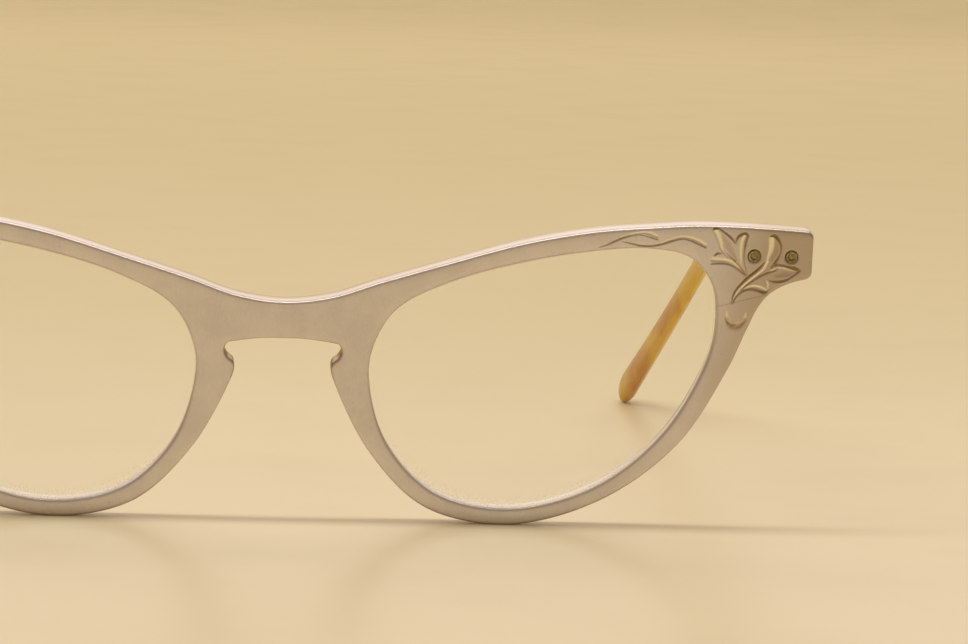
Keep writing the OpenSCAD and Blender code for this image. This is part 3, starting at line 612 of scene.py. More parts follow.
HOLLOWS = {
    "petal_left": ((53.0, 37.35, 0.2), (53.65, 36.5, 0.5), (54.25, 35.5, 0.45), (55.0, 34.2, 0.15)),
    "leaf_upright": (
        (59.75, 36.8, 0.2), (59.8, 36.0, 0.35), (59.6, 35.2, 0.35), (59.2, 34.3, 0.15)),
    "leaf_right": ((59.9, 32.5, 0.3), (60.8, 32.75, 0.5), (61.6, 32.85, 0.4), (62.3, 33.0, 0.15)),
    "stem": ((55.2, 29.6, 0.1), (56.0, 30.75, 0.2), (57.0, 31.75, 0.22), (58.2, 32.6, 0.2)),
    "crescent": (
        (54.2, 26.9, 0.2), (54.7, 26.35, 0.35), (55.33, 26.15, 0.4), (55.95, 26.4, 0.35),
        (56.3, 26.9, 0.2)),
}


def stroke_field(marks, x, y):
    """Place across a cut, from 0 at its middle to 1 at its walls, at each point near it: the
    distance from the smooth line through the marks over the half width there."""
    marks = np.asarray(marks)
    before, after = 2 * marks[0] - marks[1], 2 * marks[-1] - marks[-2]
    line = np.concatenate([smooth([before, *marks, after], steps=8), marks[-1:]])
    reach = 1.5 * marks[:, 2].max()
    low = line[:, :2].min(0) - reach
    high = line[:, :2].max(0) + reach
    near = np.flatnonzero((x > low[0]) & (x < high[0]) & (y > low[1]) & (y < high[1]))
    p = np.stack([x[near], y[near]], 1)[:, None]
    a = line[:-1]
    d = line[1:] - a
    along = np.clip(((p - a[:, :2]) * d[:, :2]).sum(-1) / (d[:, :2] ** 2).sum(-1), 0, 1)
    off = p - (a[:, :2] + along[..., None] * d[:, :2])
    far = np.linalg.norm(off, axis=-1)
    best = far.argmin(1)
    row = np.arange(len(near))
    width = a[best, 2] + along[row, best] * d[best, 2]
    return near, far[row, best] / width, width


# How far past its marked walls a cut runs out, and its depth over its half width
GOUGE_SPREAD, LINE_SPREAD = 1.1, 1.35
GOUGE_DEPTH, LINE_DEPTH, HOLLOW_DEPTH = 0.5, 1.1, 0.12
DARK_LINE = 0.14  # half width from which a line's painted shade is as dark as it gets
HOLLOW_SHADE = 0.35
CRESCENT_SHINE = 0.5  # the crescent gets less of the bright cut colour and its painted highlight than the rest


def engraving(x, y, deepest):
    """Depth of the engraving at each point, and how far it shows bare metal with a painted highlight, or a wall in
    painted shade.
    A gouge is a parabola across its width, a line is a V, and a hollow is a shallow parabola.
    Where cuts cross, the deeper one counts."""
    depth, bright, dark = (np.zeros_like(x) for _ in range(3))

    def at_least(values, near, new):
        values[near] = np.maximum(values[near], new)

    for name, marks in GOUGES.items():
        near, across, width = stroke_field(marks, x, y)
        scoop = np.clip(GOUGE_SPREAD - across ** 2, 0, 1)
        shine = CRESCENT_SHINE if name == "crescent" else 1
        at_least(depth, near, scoop * width * GOUGE_DEPTH)
        at_least(bright, near, np.clip(scoop * 1.5, 0, 1) * shine)
    for marks in LINES.values():
        near, across, width = stroke_field(marks, x, y)
        vee = np.clip(LINE_SPREAD - across, 0, 1)
        at_least(depth, near, vee * width * LINE_DEPTH)
        at_least(dark, near, np.clip(vee * 1.4, 0, 1) * np.clip(width / DARK_LINE, 0.35, 1))
    for marks in HOLLOWS.values():
        near, across, width = stroke_field(marks, x, y)
        bowl = np.clip(1 - across ** 2, 0, 1)
        at_least(depth, near, bowl * width * HOLLOW_DEPTH)
        at_least(dark, near, bowl * HOLLOW_SHADE)
    return np.minimum(depth, deepest), bright * (1 - dark), dark


def rivet_places(s):
    """Plate coordinates of the two rivets of a wing, either side of the hinge axis."""
    x, y, _ = hinge_place()
    return [(x + k * s.rivet_gap / 2, y) for k in (-1, 1)]


# Mesh building

def add_object(name, data):
    made = bpy.data.objects.new(name, data)
    bpy.context.scene.collection.objects.link(made)
    return made


def add_mesh(name, points, faces):
    mesh = bpy.data.meshes.new(name)
    mesh.from_pydata(points.tolist(), [], faces)
    return add_object(name, mesh)


def add_bmesh(name, bm):
    mesh = bpy.data.meshes.new(name)
    bm.to_mesh(mesh)
    bm.free()
    return add_object(name, mesh)


def dress(piece, body, node, material, sharp=35):
    """Shades a piece smooth between its sharp edges, gives it a finish and the body that it rides
    on, and hides the CAD node that it stands for."""
    mesh = piece.data
    if mesh.validate(verbose=False):
        raise RuntimeError(f"the mesh of {piece.name} had faults")
    mesh.shade_smooth()
    mesh.set_sharp_from_angle(angle=np.radians(sharp))
    mesh.materials.clear()
    mesh.materials.append(material)
    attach(piece, body)
    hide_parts(node)


def new_pair(kind, ending, points, faces, body, material, sharp=35):
    """Pieces for the left and the right node of a kind, from plate points of the left one. The
    mirror image has its faces listed the other way round."""
    pair = []
    for side, sign in SIDES:
        order = faces if sign > 0 else [face[::-1] for face in faces]
        piece = add_mesh(f"{kind}_{side}_{ending}", from_plate(points, sign), order)
        dress(piece, body.format(side), f"{kind}_{side}", material, sharp)
        pair.append(piece)
    return pair


def grid_faces(rows, columns, closed=False):
    """Quads of a grid whose vertices run along its columns first, row by row. In a closed grid
    the last column is joined to the first."""
    r = np.arange(rows - 1)[:, None]
    c = np.arange(columns - (not closed))[None]
    c2 = (c + 1) % columns
    quads = [r * columns + c, r * columns + c2, (r + 1) * columns + c2, (r + 1) * columns + c]
    return np.stack(np.broadcast_arrays(*quads), -1).reshape(-1, 4)


def fan(centre, ring):
    """Triangles from a centre to a closed ring of vertices."""
    return np.stack([np.full(len(ring), centre), ring, np.roll(ring, -1)], 1)


def swept(rings, poles):
    """Points and outward faces of rings that follow each other, closed by a point at each end."""
    rings = np.asarray(rings)
    grid = rings.reshape(-1, 3)
    count, sides = len(grid), rings.shape[1]
    faces = [*grid_faces(len(rings), sides, closed=True)[:, ::-1].tolist(),
             *fan(count, np.arange(sides)).tolist(),
             *fan(count + 1, np.arange(count - sides, count)[::-1]).tolist()]
    return np.concatenate([grid, poles]), faces


def set_attribute(mesh, name, values):
    layer = mesh.attributes.new(name, "FLOAT", "POINT")
    layer.data.foreach_set("value", np.asarray(values, np.float32))


def vectors_of(items, key):
    """One vector of each item of a mesh, such as the place or the normal of its vertices."""
    values = np.empty(len(items) * 3)
    items.foreach_get(key, values)
    return values.reshape(-1, 3)


# The front

# Places on an opening are in marks. The spokes between these two end on the middle of the bridge,
# at its top and at its underside.
MIDDLE_TOP, MIDDLE_LOW = 13.7, 14.5
# Stretches of spokes round a lens: the place where each ends (or how far before the saw cut, if
# not above 0), how many spokes it has, and how many rows lie on the face. The engraved stretches
# are the finest, and their rows are a multiple of those of the coarsest.
STRETCHES = ((10.0, 200, 96), (11.2, 80, 24), (MIDDLE_TOP, 76, 12), (MIDDLE_LOW, 8, 12),
             (16.0, 76, 12), (-0.5, 120, 12), (0, 80, 48))


def spokes(s):
    """Spokes from the opening to the outline of one half, starting and ending at the saw cut:
    their ends and the outward normals there, whether each ends on the middle plane, and its rows
    on the face. The rim is all points of the outline and the opening, with their normals."""
    inner = opening_curve(s)
    inner_out = outward(inner)
    line, aims = half_outline(s)
    bridge = np.linspace(line[-1], line[0], FINE, endpoint=False)[1:]
    outer = np.concatenate([line, bridge])
    run = np.concatenate([[0], np.cumsum(np.linalg.norm(np.diff(outer, axis=0), axis=1))])
    whole = run[-1] + np.linalg.norm(outer[0] - outer[-1])
    mirrored = np.concatenate([line, line[-2:0:-1] * [-1, 1]])
    line_out = outward(mirrored)[:len(line)]
    outer_out = np.concatenate([line_out, np.zeros_like(bridge)])

    foot = np.array([s.lens_gap / 2 + s.lens_w, RIM_BOTTOM + s.lens_h - s.split_drop])
    cut_up = np.array([-np.sin(s.split_rise), np.cos(s.split_rise)])

    def crossings(curve, first, last):
        """Fractional indices where a stretch of a curve crosses the two walls of the saw cut."""
        for wall in (-s.split_w / 2, s.split_w / 2):
            above = (curve[first:last] - foot) @ cut_up - wall
            k = np.flatnonzero(np.diff(np.sign(above)))[0]
            yield first + k + above[k] / (above[k] - above[k + 1])

    # The cut crosses the opening between marks 6 and 9, and the outline within six marks after
    # the last one of the rim
    marks = len(OPENING)
    last = aims["rim"][-1]
    lower_in, upper_in = (k / FINE for k in crossings(inner, 6 * FINE, 9 * FINE))
    lower_out, upper_out = (np.interp(k, np.arange(len(run)), run)
                            for k in crossings(line, last, last + 6 * FINE))
    anchors = [(upper_in, upper_out)]
    anchors += [(10 + k, run[aims["brow"][k]]) for k in range(4)]
    anchors += [(MIDDLE_TOP, run[aims["end"]]), (MIDDLE_LOW, whole), (15, whole + run[aims["notch"]])]
    anchors += [(marks + k, whole + run[aims["rim"][k]]) for k in range(7)]
    anchors += [(marks + lower_in, whole + lower_out)]

    t = [upper_in]
    face_rows = np.zeros(1 + sum(count for _, count, _ in STRETCHES), int)
    for end, count, rows in STRETCHES:
        here = slice(len(t) - 1, len(t) + count)
        face_rows[here] = np.maximum(face_rows[here], rows)
        t.extend(np.linspace(t[-1], end if end > 0 else marks + lower_in + end, count + 1)[1:])
    t = np.array(t)
    along = np.interp(t, *np.array(anchors).T)

    def blend(at, known, values, period):
        return np.stack([np.interp(at, known, v, period=period) for v in values.T], 1)

    def unit(vectors):
        size = np.linalg.norm(vectors, axis=1, keepdims=True)
        return np.divide(vectors, size, out=np.zeros_like(vectors), where=size > 0)

    middle = (t > MIDDLE_TOP + 1e-6) & (t < MIDDLE_LOW - 1e-6)
    corner = np.isclose(t, MIDDLE_TOP) | np.isclose(t, MIDDLE_LOW)
    ends = blend(along, run, outer, whole)
    ends_out = blend(along, run, outer_out, whole)
    ends[middle | corner, 0] = 0
    ends_out[middle] = 0
    ends_out[corner] = np.sign(ends_out[corner]) * [0, 1]
    inner_at = np.arange(len(inner)) / FINE
    return SimpleNamespace(start=blend(t, inner_at, inner, marks),
                           start_out=unit(blend(t, inner_at, inner_out, marks)),
                           end=ends, end_out=unit(ends_out), middle=middle | corner,
                           face_rows=face_rows, rim=np.concatenate([line, inner]),
                           rim_out=np.concatenate([line_out, inner_out]))


SHOULDER_SLOPE = np.radians(7)


def shoulder_fall(s, inset):
    """Depth of the face below its flat part, near an edge: a parabola that starts a shoulder in
    from the rounding and reaches its slope there."""
    run = np.clip(s.shoulder + edge_profile(s)[0, 0] - inset, 0, s.shoulder)
    return run ** 2 * np.tan(SHOULDER_SLOPE) / (2 * s.shoulder)


def edge_profile(s):
    """Rounded edge of the face, as (inset from the wall, depth): a circle, from the slope of the
    shoulder down to the wall."""
    turn = np.linspace(SHOULDER_SLOPE, np.pi / 2, 6)
    start = s.shoulder * np.tan(SHOULDER_SLOPE) / 2
    return np.stack([s.edge_round * (1 - np.sin(turn)),
                     start + s.edge_round * (np.cos(SHOULDER_SLOPE) - np.cos(turn))], 1)


def rear_profile(r):
    """Rounded edge at the back, as (inset from the wall, height above the rear face): a quarter
    of a circle."""
    turn = np.radians(np.linspace(0, 90, 4))
    return r * np.stack([1 - np.sin(turn), 1 - np.cos(turn)], 1)


def sphere_height(s, lens, points, depth=0.0):
    """Height of the lens sphere at points of the plate, at a depth below its front surface."""
    far = ((points - lens_centre(s)) ** 2).sum(-1)
    return lens.lens_proud - lens.lens_r + np.sqrt((lens.lens_r - depth) ** 2 - far)


def edge_distance(spoke, row):
    """Distance of points of the face from the nearest edge: measured square to the outline, at its
    point nearest to each."""
    off = row[:, None] - spoke.rim
    nearest = (off ** 2).sum(-1).argmin(1)
    return np.abs((off[np.arange(len(row)), nearest] * spoke.rim_out[nearest]).sum(1))


def section(s, lens, spoke, face_rows, pick):
    """Closed section of the rim at the picked spokes: along the face, over the outer edge, back
    along the rear face, and over the inner edge with its lens groove. Shape (spokes, rows, 3)."""
    start, start_out = spoke.start[pick], spoke.start_out[pick]
    end, end_out = spoke.end[pick], spoke.end_out[pick]
    edge = edge_profile(s)
    thirds = (1 / 3, 2 / 3)
    t = s.front_t
    at = []

    def add(points, heights):
        heights = np.broadcast_to(np.asarray(heights, float), len(points))
        at.append(np.concatenate([points, heights[:, None]], 1))

    inner = start + start_out * edge[0, 0]
    outer = end - end_out * edge[0, 0]
    for k in np.linspace(0, 1, face_rows + 1):
        row = inner + (outer - inner) * k
        add(row, -shoulder_fall(s, edge_distance(spoke, row)))
    for inset, depth in edge[1:]:
        add(end - end_out * inset, -depth)
    for k in thirds:
        add(end, -edge[-1, 1] - k * (t - edge[-1, 1] - s.rear_round))
    for inset, height in rear_profile(s.rear_round)[::-1]:
        add(end - end_out * inset, height - t)
    rear_outer = end - end_out * s.rear_round
    rear_inner = start + start_out * s.edge_round
    for k in thirds:
        add(rear_outer + (rear_inner - rear_outer) * k, -t)
    for inset, height in rear_profile(s.edge_round):
        add(start + start_out * inset, height - t)
    groove = sphere_height(s, lens, start) - lens.lens_t / 2
    deep = start + start_out * s.groove_depth
    for wall, half in ((start, -0.5), (deep, -0.5), (deep, 0.5), (start, 0.5)):
        add(wall, groove + half * s.groove_w)
    for inset, depth in edge[:0:-1]:
        add(start + start_out * inset, -depth)
    return np.stack(at, 1)


def strip(a, b):
    """Faces between two neighbouring spokes, listed from row to row. Where one has more rows,
    each face takes in all of its vertices between two rows of the other."""
    if len(a) == len(b):
        return np.stack([a[:-1], a[1:], b[1:], b[:-1]], 1).tolist()
    coarse = min(len(a), len(b)) - 1
    ka = (len(a) - 1) // coarse
    kb = (len(b) - 1) // coarse
    return [[*a[k * ka:(k + 1) * ka + 1], *b[k * kb:(k + 1) * kb + 1][::-1]]
            for k in range(coarse)]


def front_half(s, lens):
    """Vertices and faces of the wearer's left half of the front, and which vertices lie on its
    face. Each spoke is a closed section, and each pair of neighbours is joined, first along the
    face and then round the rest."""
    spoke = spokes(s)
    runs = np.split(np.arange(len(spoke.face_rows)), np.flatnonzero(np.diff(spoke.face_rows)) + 1)
    points, on_face, around = [], [], []
    total = 0
    for pick in runs:
        rows = spoke.face_rows[pick[0]]
        block = section(s, lens, spoke, rows, pick)
        ids = total + np.arange(block.shape[0] * block.shape[1]).reshape(block.shape[:2])
        points.append(block.reshape(-1, 3))
        on_face.extend(ids[:, :rows + 1])
        around.extend(np.concatenate([ids[:, rows:], ids[:, :1]], 1))
        total += ids.size
    faces = [np.concatenate([on_face[0], around[0][1:-1]])[::-1].tolist(),
             np.concatenate([on_face[-1], around[-1][1:-1]]).tolist()]
    # Between two spokes on the middle plane the outer edge gets no faces, as the halves meet there
    outer_wall = len(edge_profile(s)) + len(rear_profile(s.rear_round)) + 1
    for k in range(len(on_face) - 1):
        faces.extend(strip(on_face[k], on_face[k + 1]))
        quads = strip(around[k], around[k + 1])
        inside = spoke.middle[k] and spoke.middle[k + 1]
        faces.extend(quads[outer_wall:] if inside else quads)
    return np.concatenate(points), faces, np.unique(np.concatenate(on_face))


# Depth of the recess round a rivet's head, at distances from its middle
RECESS = ((0.6, 0.7, 0.8, 0.95), (0.3, 0.22, 0.1, 0))


def carve(s, points, on_face):
    """Lowers the face along the engraving and in the recess round each rivet's head."""
    x, y = points[on_face, 0], points[on_face, 1]
    depth = engraving(x, y, s.engraving_depth)[0]
    for place in rivet_places(s):
        off = np.hypot(x - place[0], y - place[1])
        depth = np.maximum(depth, np.interp(off, *RECESS))
    points[on_face, 2] -= depth


def mirrored_whole(points, faces):
    """Both halves: the right half is the left one reflected, and they share what lies in the
    middle plane. Vertices that no face uses are dropped."""
    flip = np.arange(len(points)) + len(points)
    middle = np.abs(points[:, 0]) < 1e-9
    flip[middle] = np.flatnonzero(middle)
    both = faces + [[int(flip[v]) for v in f][::-1] for f in faces]
    every = np.concatenate([points, points * [-1, 1, 1]])
    used = np.zeros(len(every), bool)
    used[np.concatenate([np.asarray(f) for f in both])] = True
    new = np.cumsum(used) - 1
    return every[used], [[int(new[v]) for v in f] for f in both]


def apply_modifiers(piece):
    """Replaces a piece's mesh by its evaluated one."""
    graph = bpy.context.evaluated_depsgraph_get()
    done = bpy.data.meshes.new_from_object(piece.evaluated_get(graph))
    piece.modifiers.clear()
    old = piece.data
    piece.data = done
    bpy.data.meshes.remove(old)


def bore(piece, centre, axis, r, depth):
    """Takes a cylinder out of a piece, with an exact Boolean."""
    bm = bmesh.new()
    turn = Vector(axis).to_track_quat("Z", "Y").to_matrix().to_4x4()
    bmesh.ops.create_cone(bm, cap_ends=True, segments=64, radius1=r, radius2=r, depth=depth,
                          matrix=Matrix.Translation(centre) @ turn)
    cutter = add_bmesh("cutter", bm)
    modifier = piece.modifiers.new("bore", "BOOLEAN")
    modifier.operation = "DIFFERENCE"
    modifier.solver = "MANIFOLD"
    modifier.object = cutter
    apply_modifiers(piece)
    bpy.data.objects.remove(cutter)


# Counterbore of a rim screw: its radius, its length and how far its middle is below the screw's
COUNTERBORE_R, COUNTERBORE_LEN, COUNTERBORE_DROP = 1.07, 7.4, 4.1
# Ramps of the edges' shine with its painted sheen, and of the painted shade, as places and the
# share at each: how far from the face or the back a wall is, how far its normal turns up, how far
# it is behind the face, and how far across from the middle
WALL = ((0.06, 0.14, 0.3), (0, 0.25, 1))
TURNED_UP, TURNED_DOWN = ((0.15, 0.6), (0, 1)), ((-0.1, 0.3), (1, 0))
BACK, FORE_LINE = ((0.9, 2.9), (0, 1)), ((0.1, 0.35, 0.6), (0.6, 0.5, 0))
NEAR_BRIDGE = ((10, 35), (1, 0))
# Painted shade on walls that face down, along the back of the brow, and near the bridge at its
# front and, on top of that, at its back
DOWN_SHADE, BACK_SHADE, BRIDGE_SHADE, BRIDGE_BACK_SHADE = 0.4, 0.75, 0.12, 0.13
# How far the painted shade on the walls of the keyhole reaches: to each side of it, and from the
# bridge's underside up and down
KEYHOLE_ASIDE, KEYHOLE_ABOVE, KEYHOLE_BELOW = 0.8, 0.3, 5
RIVET_CLEAR_R = 1.0  # the walls get no shine or painted sheen this near to a rivet's middle


class GLASSES_OT_front(bpy.types.Operator):
    """Make the engraved metal front"""
    bl_idname = "glasses.front"
    bl_label = "Front"

    def execute(self, context):
        s = sizes("front")
        points, faces, on_face = front_half(s, sizes("lens"))
        carve(s, points, on_face)
        points, faces = mirrored_whole(points, faces)
        piece = add_mesh("front", from_plate(points), faces)
        for side, sign in SIDES:
            screw = np.mean(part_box(f"rim_screw_{side}"), axis=0)
            axis = UP * np.cos(s.split_rise) - np.array([sign, 0, 0]) * np.sin(s.split_rise)
            bore(piece, screw - axis * COUNTERBORE_DROP * MM, axis, COUNTERBORE_R * MM,
                 COUNTERBORE_LEN * MM)
        metal = satin_metal("satin_front", context.scene.glasses_finishes.satin, FRONT_GRAIN)
        dress(piece, "front", "front_frame", metal)
        self.mark_wear(s, piece.data)
        return {"FINISHED"}

    @staticmethod
    def mark_wear(s, mesh):
        """Attributes for the metal: the cuts, bare with a painted highlight and with walls in painted
        shade; a shine, partly a painted sheen, along the edges that face up; and painted shade on the
        other edges, in the keyhole, and along the brow's edge, where it grows towards the back and the
        bridge and lies in a line just behind the face."""
        plate = to_plate(vectors_of(mesh.vertices, "co"))
        across, up, behind = np.abs(plate[:, 0]), plate[:, 1], -plate[:, 2]
        normals = vectors_of(mesh.vertex_normals, "vector")
        turned_up = normals @ UP
        turned_out = normals[:, 0] * np.sign(plate[:, 0])
        face = (behind < s.engraving_depth + 0.02) & (behind > -0.001)
        _, bright, dark = engraving(across, up, s.engraving_depth)
        bright, dark = np.where(face, bright, 0), np.where(face, dark, 0)
        wall = np.interp(np.minimum(behind, s.front_t - behind), *WALL)
        wall[bright + dark > 0] = 0
        for x, y in rivet_places(s):
            wall[np.hypot(across - x, up - y) < RIVET_CLEAR_R] = 0
        # Shine on the walls that face up: worn metal, and a painted sheen
        shine_and_sheen = wall * np.interp(turned_up, *TURNED_UP)
        # Painted shade on the walls that face down
        tarnish_and_shade = DOWN_SHADE * wall * np.interp(turned_up, *TURNED_DOWN)
        middle = lens_centre(s)
        outside = turned_out * (across - middle[0]) + turned_up * (up - middle[1]) > 0
        # Painted shade on the outer edges that face up, towards the back, the bridge and behind the face
        back = np.interp(behind, *BACK)
        bridge = np.interp(across, *NEAR_BRIDGE) * (BRIDGE_SHADE + back * BRIDGE_BACK_SHADE)
        line = np.interp(behind, *FORE_LINE)
        tarnish_and_shade += outside * shine_and_sheen * (back * BACK_SHADE + bridge + line)
        # Painted shade on the walls of the keyhole
        keyhole = ((across < s.keyhole_w / 2 + KEYHOLE_ASIDE)
                   & (up > s.bridge_low - KEYHOLE_BELOW) & (up < s.bridge_low + KEYHOLE_ABOVE))
        tarnish_and_shade[keyhole] = wall[keyhole]
        # Bare cut metal, with a painted highlight
        set_attribute(mesh, "cut_bright", bright)
        # The dark cut colour takes the cuts' painted shade and the walls' painted shade
        set_attribute(mesh, "cut_dark", np.maximum(dark, tarnish_and_shade))
        # The edge attribute takes the shine with its painted sheen
        set_attribute(mesh, "edge", shine_and_sheen)


# The lenses

# Dust on a lens, as ramps: at distances from the rim, and at heights above the lowest rim
DUST_NEAR, DUST_LOW = ((0, 0.5, 1.6), (1, 0.6, 0)), ((1, 9), (1, 0.12))


class GLASSES_OT_lenses(bpy.types.Operator):
    """Make the two lenses"""
    bl_idname = "glasses.lenses"
    bl_label = "Lenses"

    def execute(self, context):
        s = sizes("front")
        lens = sizes("lens")
        centre = lens_centre(s)
        curve = opening_curve(s)[::4]
        out = outward(curve)
        spread = np.sqrt(np.append(np.linspace(0, 1, 24)[1:-1], [0.996, 1]))[:, None, None]
        tongue = s.groove_w - 2 * lens.lens_play
        rim = curve - out * lens.lens_play
        tip = curve + out * (s.groove_depth - lens.lens_play)

        def on_sphere(flat, depth):
            return np.concatenate([flat, sphere_height(s, lens, flat, depth)[..., None]], -1)

        flat = centre + (rim - centre) * spread
        front = (lens.lens_t - tongue) / 2
        rings = [*on_sphere(flat, 0), on_sphere(rim, front), on_sphere(tip, front),
                 on_sphere(tip, front + tongue), on_sphere(rim, front + tongue),
                 *on_sphere(flat, lens.lens_t)[::-1]]
        poles = [on_sphere(centre[None], depth)[0] for depth in (0, lens.lens_t)]
        points, faces = swept(rings, poles)
        near = np.linalg.norm(points[:, None, :2] - curve[None], axis=-1).min(1)
        dust = np.interp(near, *DUST_NEAR) * np.interp(points[:, 1] - RIM_BOTTOM, *DUST_LOW)
        ring = np.append(np.repeat(np.arange(len(rings)), len(curve)), [-1, -1])
        ground = (ring >= len(flat) - 1) & (ring < len(flat) + 5)  # the six rings of the edge
        for piece in new_pair("lens", "glass", points, faces, "front", lens_glass()):
            set_attribute(piece.data, "dust", dust)
            set_attribute(piece.data, "ground", ground)
        return {"FINISHED"}


# Rivets

def lathe(profile, origin, axis, segments=48):
    """Surface of revolution: each ring is the origin, plus a height along the axis, plus a
    radius times (cosine, sine) across it. The first and the last ring lie on the axis."""
    aside = np.cross(axis, [0.0, 0.0, 1.0])
    aside /= np.linalg.norm(aside)
    turn = np.linspace(0, 2 * np.pi, segments, endpoint=False)
    ring = np.cos(turn)[:, None] * aside + np.sin(turn)[:, None] * np.cross(axis, aside)
    profile = np.asarray(profile) * MM
    body = profile[1:-1, None]
    return swept(origin + body[..., 1:] * axis + body[..., :1] * ring,
                 origin + profile[[0, -1], 1:] * axis)


HEAD_R, SHANK_R, TAIL_R = 0.73, 0.6, 0.85
# Thickness of what a rivet holds: the wing and its leaf, or the bar and its leaf
FRONT_STACK, TEMPLE_STACK = 4.4, 2.8
# How much a rivet's head is darkened at distances from its middle: most on its dimple's wall, least
# on the domed ring, and more again round its rim
HEAD_DARKENING = ((0.2, 0.38, 0.48, 0.66, 0.74), (0.4, 0.7, 0.15, 0.2, 0.5))


def rivet_profile(stack):
    """Radius and height down a rivet: a dimple inside a domed ring, the flush head, the shank and
    the flush tail."""
    dome = [(0, -0.12), (0.16, -0.13), (0.28, -0.155), (0.37, -0.12), (0.43, -0.04), (0.5, 0.02),
            (0.56, 0.045), (0.63, 0.03), (0.69, -0.01), (0.72, -0.07)]
    return [*dome, (HEAD_R, -0.15), (HEAD_R, -0.42), (SHANK_R, -0.44), (SHANK_R, -stack + 0.3),
            (TAIL_R, -stack + 0.28), (TAIL_R, -stack + 0.05), (TAIL_R - 0.05, -stack), (0, -stack)]


class GLASSES_OT_rivets(bpy.types.Operator):
    """Make the rivets of the wings and of the temples"""
    bl_idname = "glasses.rivets"
    bl_label = "Rivets"

    def execute(self, context):
        splay = sizes("temple").splay
        metal = rivet_metal()
        for name in ("front_rivet_inner", "front_rivet_outer"):
            for side, _ in SIDES:
                self.rivet(f"{name}_{side}", "front", FACE, FRONT_STACK, metal)
        for name in ("temple_rivet_fore", "temple_rivet_aft"):
            for side, sign in SIDES:
                axis = np.array([sign, 0, 0]) * np.cos(splay) + FACE * np.sin(splay)
                self.rivet(f"{name}_{side}", f"temple_{side}", axis, TEMPLE_STACK, metal)
        return {"FINISHED"}

    @staticmethod
    def rivet(node, body, axis, stack, metal):
        centre = np.mean(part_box(node), axis=0)
        axis = axis / np.linalg.norm(axis)
        points, faces = lathe(rivet_profile(stack), centre + axis * stack / 2 * MM, axis)
        piece = add_mesh(node + "_set", points, faces)
        dress(piece, body, node, metal)
        off = (points - centre) / MM
        wide = np.linalg.norm(np.cross(off, axis), axis=1)
        head = off @ axis > stack / 2 - 0.3
        set_attribute(piece.data, "darkening", np.where(head, np.interp(wide, *HEAD_DARKENING), 0.2))


# Hinges and screws

LEAF_EDGE, SCREW_EDGE = 0.09, 0.06  # widths of their worn edges
SAME_POINT = 0.002  # corners of the CAD mesh as near as this are merged


class GLASSES_OT_hinges(bpy.types.Operator):
    """Make the hinge leaves and the screws"""
    bl_idname = "glasses.hinges"
    bl_label = "Hinges and Screws"

    def execute(self, context):
        leaf = steel_metal("hinge_steel", 1, 0.28)
        screw = steel_metal("screw_steel", 0.85, 0.24)
        for name, body, slot, metal, edge in (
                ("front_hinge", "front", "hinge", leaf, LEAF_EDGE),
                ("temple_hinge", "temple_{}", "hinge", leaf, LEAF_EDGE),
                ("hinge_screw", "front", "hinge_screw", screw, SCREW_EDGE),
                ("rim_screw", "front", "rim_screw", screw, SCREW_EDGE)):
            for side, _ in SIDES:
                self.soften(f"{name}_{side}", body.format(side), slot, metal, edge * MM)
        return {"FINISHED"}

    @staticmethod
    def soften(node, body, slot, metal, edge):
        """A copy of a CAD node, merged, with its sharp edges rounded."""
        bm = bmesh.new()
        bm.from_mesh(frame["nodes"][node].data)
        bmesh.ops.remove_doubles(bm, verts=bm.verts, dist=SAME_POINT * MM)
        bmesh.ops.dissolve_limit(bm, angle_limit=np.radians(1), verts=bm.verts, edges=bm.edges)
        piece = add_bmesh(node + "_worn", bm)
        bevel = piece.modifiers.new("edges", "BEVEL")
        bevel.width = edge
        bevel.segments = 2
        bevel.limit_method = "ANGLE"
        bevel.angle_limit = np.radians(40)
        apply_modifiers(piece)
        dress(piece, body, node, metal, 40)


# Temples

def temple_line(s, u, h):
    """Depth behind the face and height up the plate, at a distance along a temple and a height
    above its middle line: straight, then round the bend, then straight again."""
    hinge = hinge_place()
    turn = np.clip((u - s.bend_at) / s.bend_r, 0, s.bend_angle)
    rest = np.maximum(0, u - s.bend_at - s.bend_r * s.bend_angle)
    a = s.panto + turn
    run = np.minimum(u, s.bend_at)
    depth = (run * np.cos(s.panto) + s.bend_r * (np.sin(a) - np.sin(s.panto))
             + rest * np.cos(a) + h * np.sin(a)) - hinge[2]
    height = (hinge[1] - run * np.sin(s.panto) - s.bend_r * (np.cos(s.panto) - np.cos(a))
              - rest * np.sin(a) + h * np.cos(a))
    return depth, height


def bar_middle(s):
    """Middle of the bar's thickness across the glasses, before the splay."""
    return hinge_place()[0] + s.bar_beside + s.bar_t / 2


def splayed(s, points):
    """Plate points of a temple, turned outwards by the splay about the axis of the hinge."""
    hinge = hinge_place()
    across, _, out = np.moveaxis(points - hinge, -1, 0)
    return np.stack([hinge[0] + across * np.cos(s.splay) - out * np.sin(s.splay), points[..., 1],
                     hinge[2] + across * np.sin(s.splay) + out * np.cos(s.splay)], -1)


TAPER_START = 6.2  # distance along a bar from the hinge
BEVEL_WEAR = 0.05  # how far the two sides of a bevel are worn round
BAR_END = ((0, 0.25), (0.06, 0.08), (0.2, 0))  # its rounding: how far back, and how far in


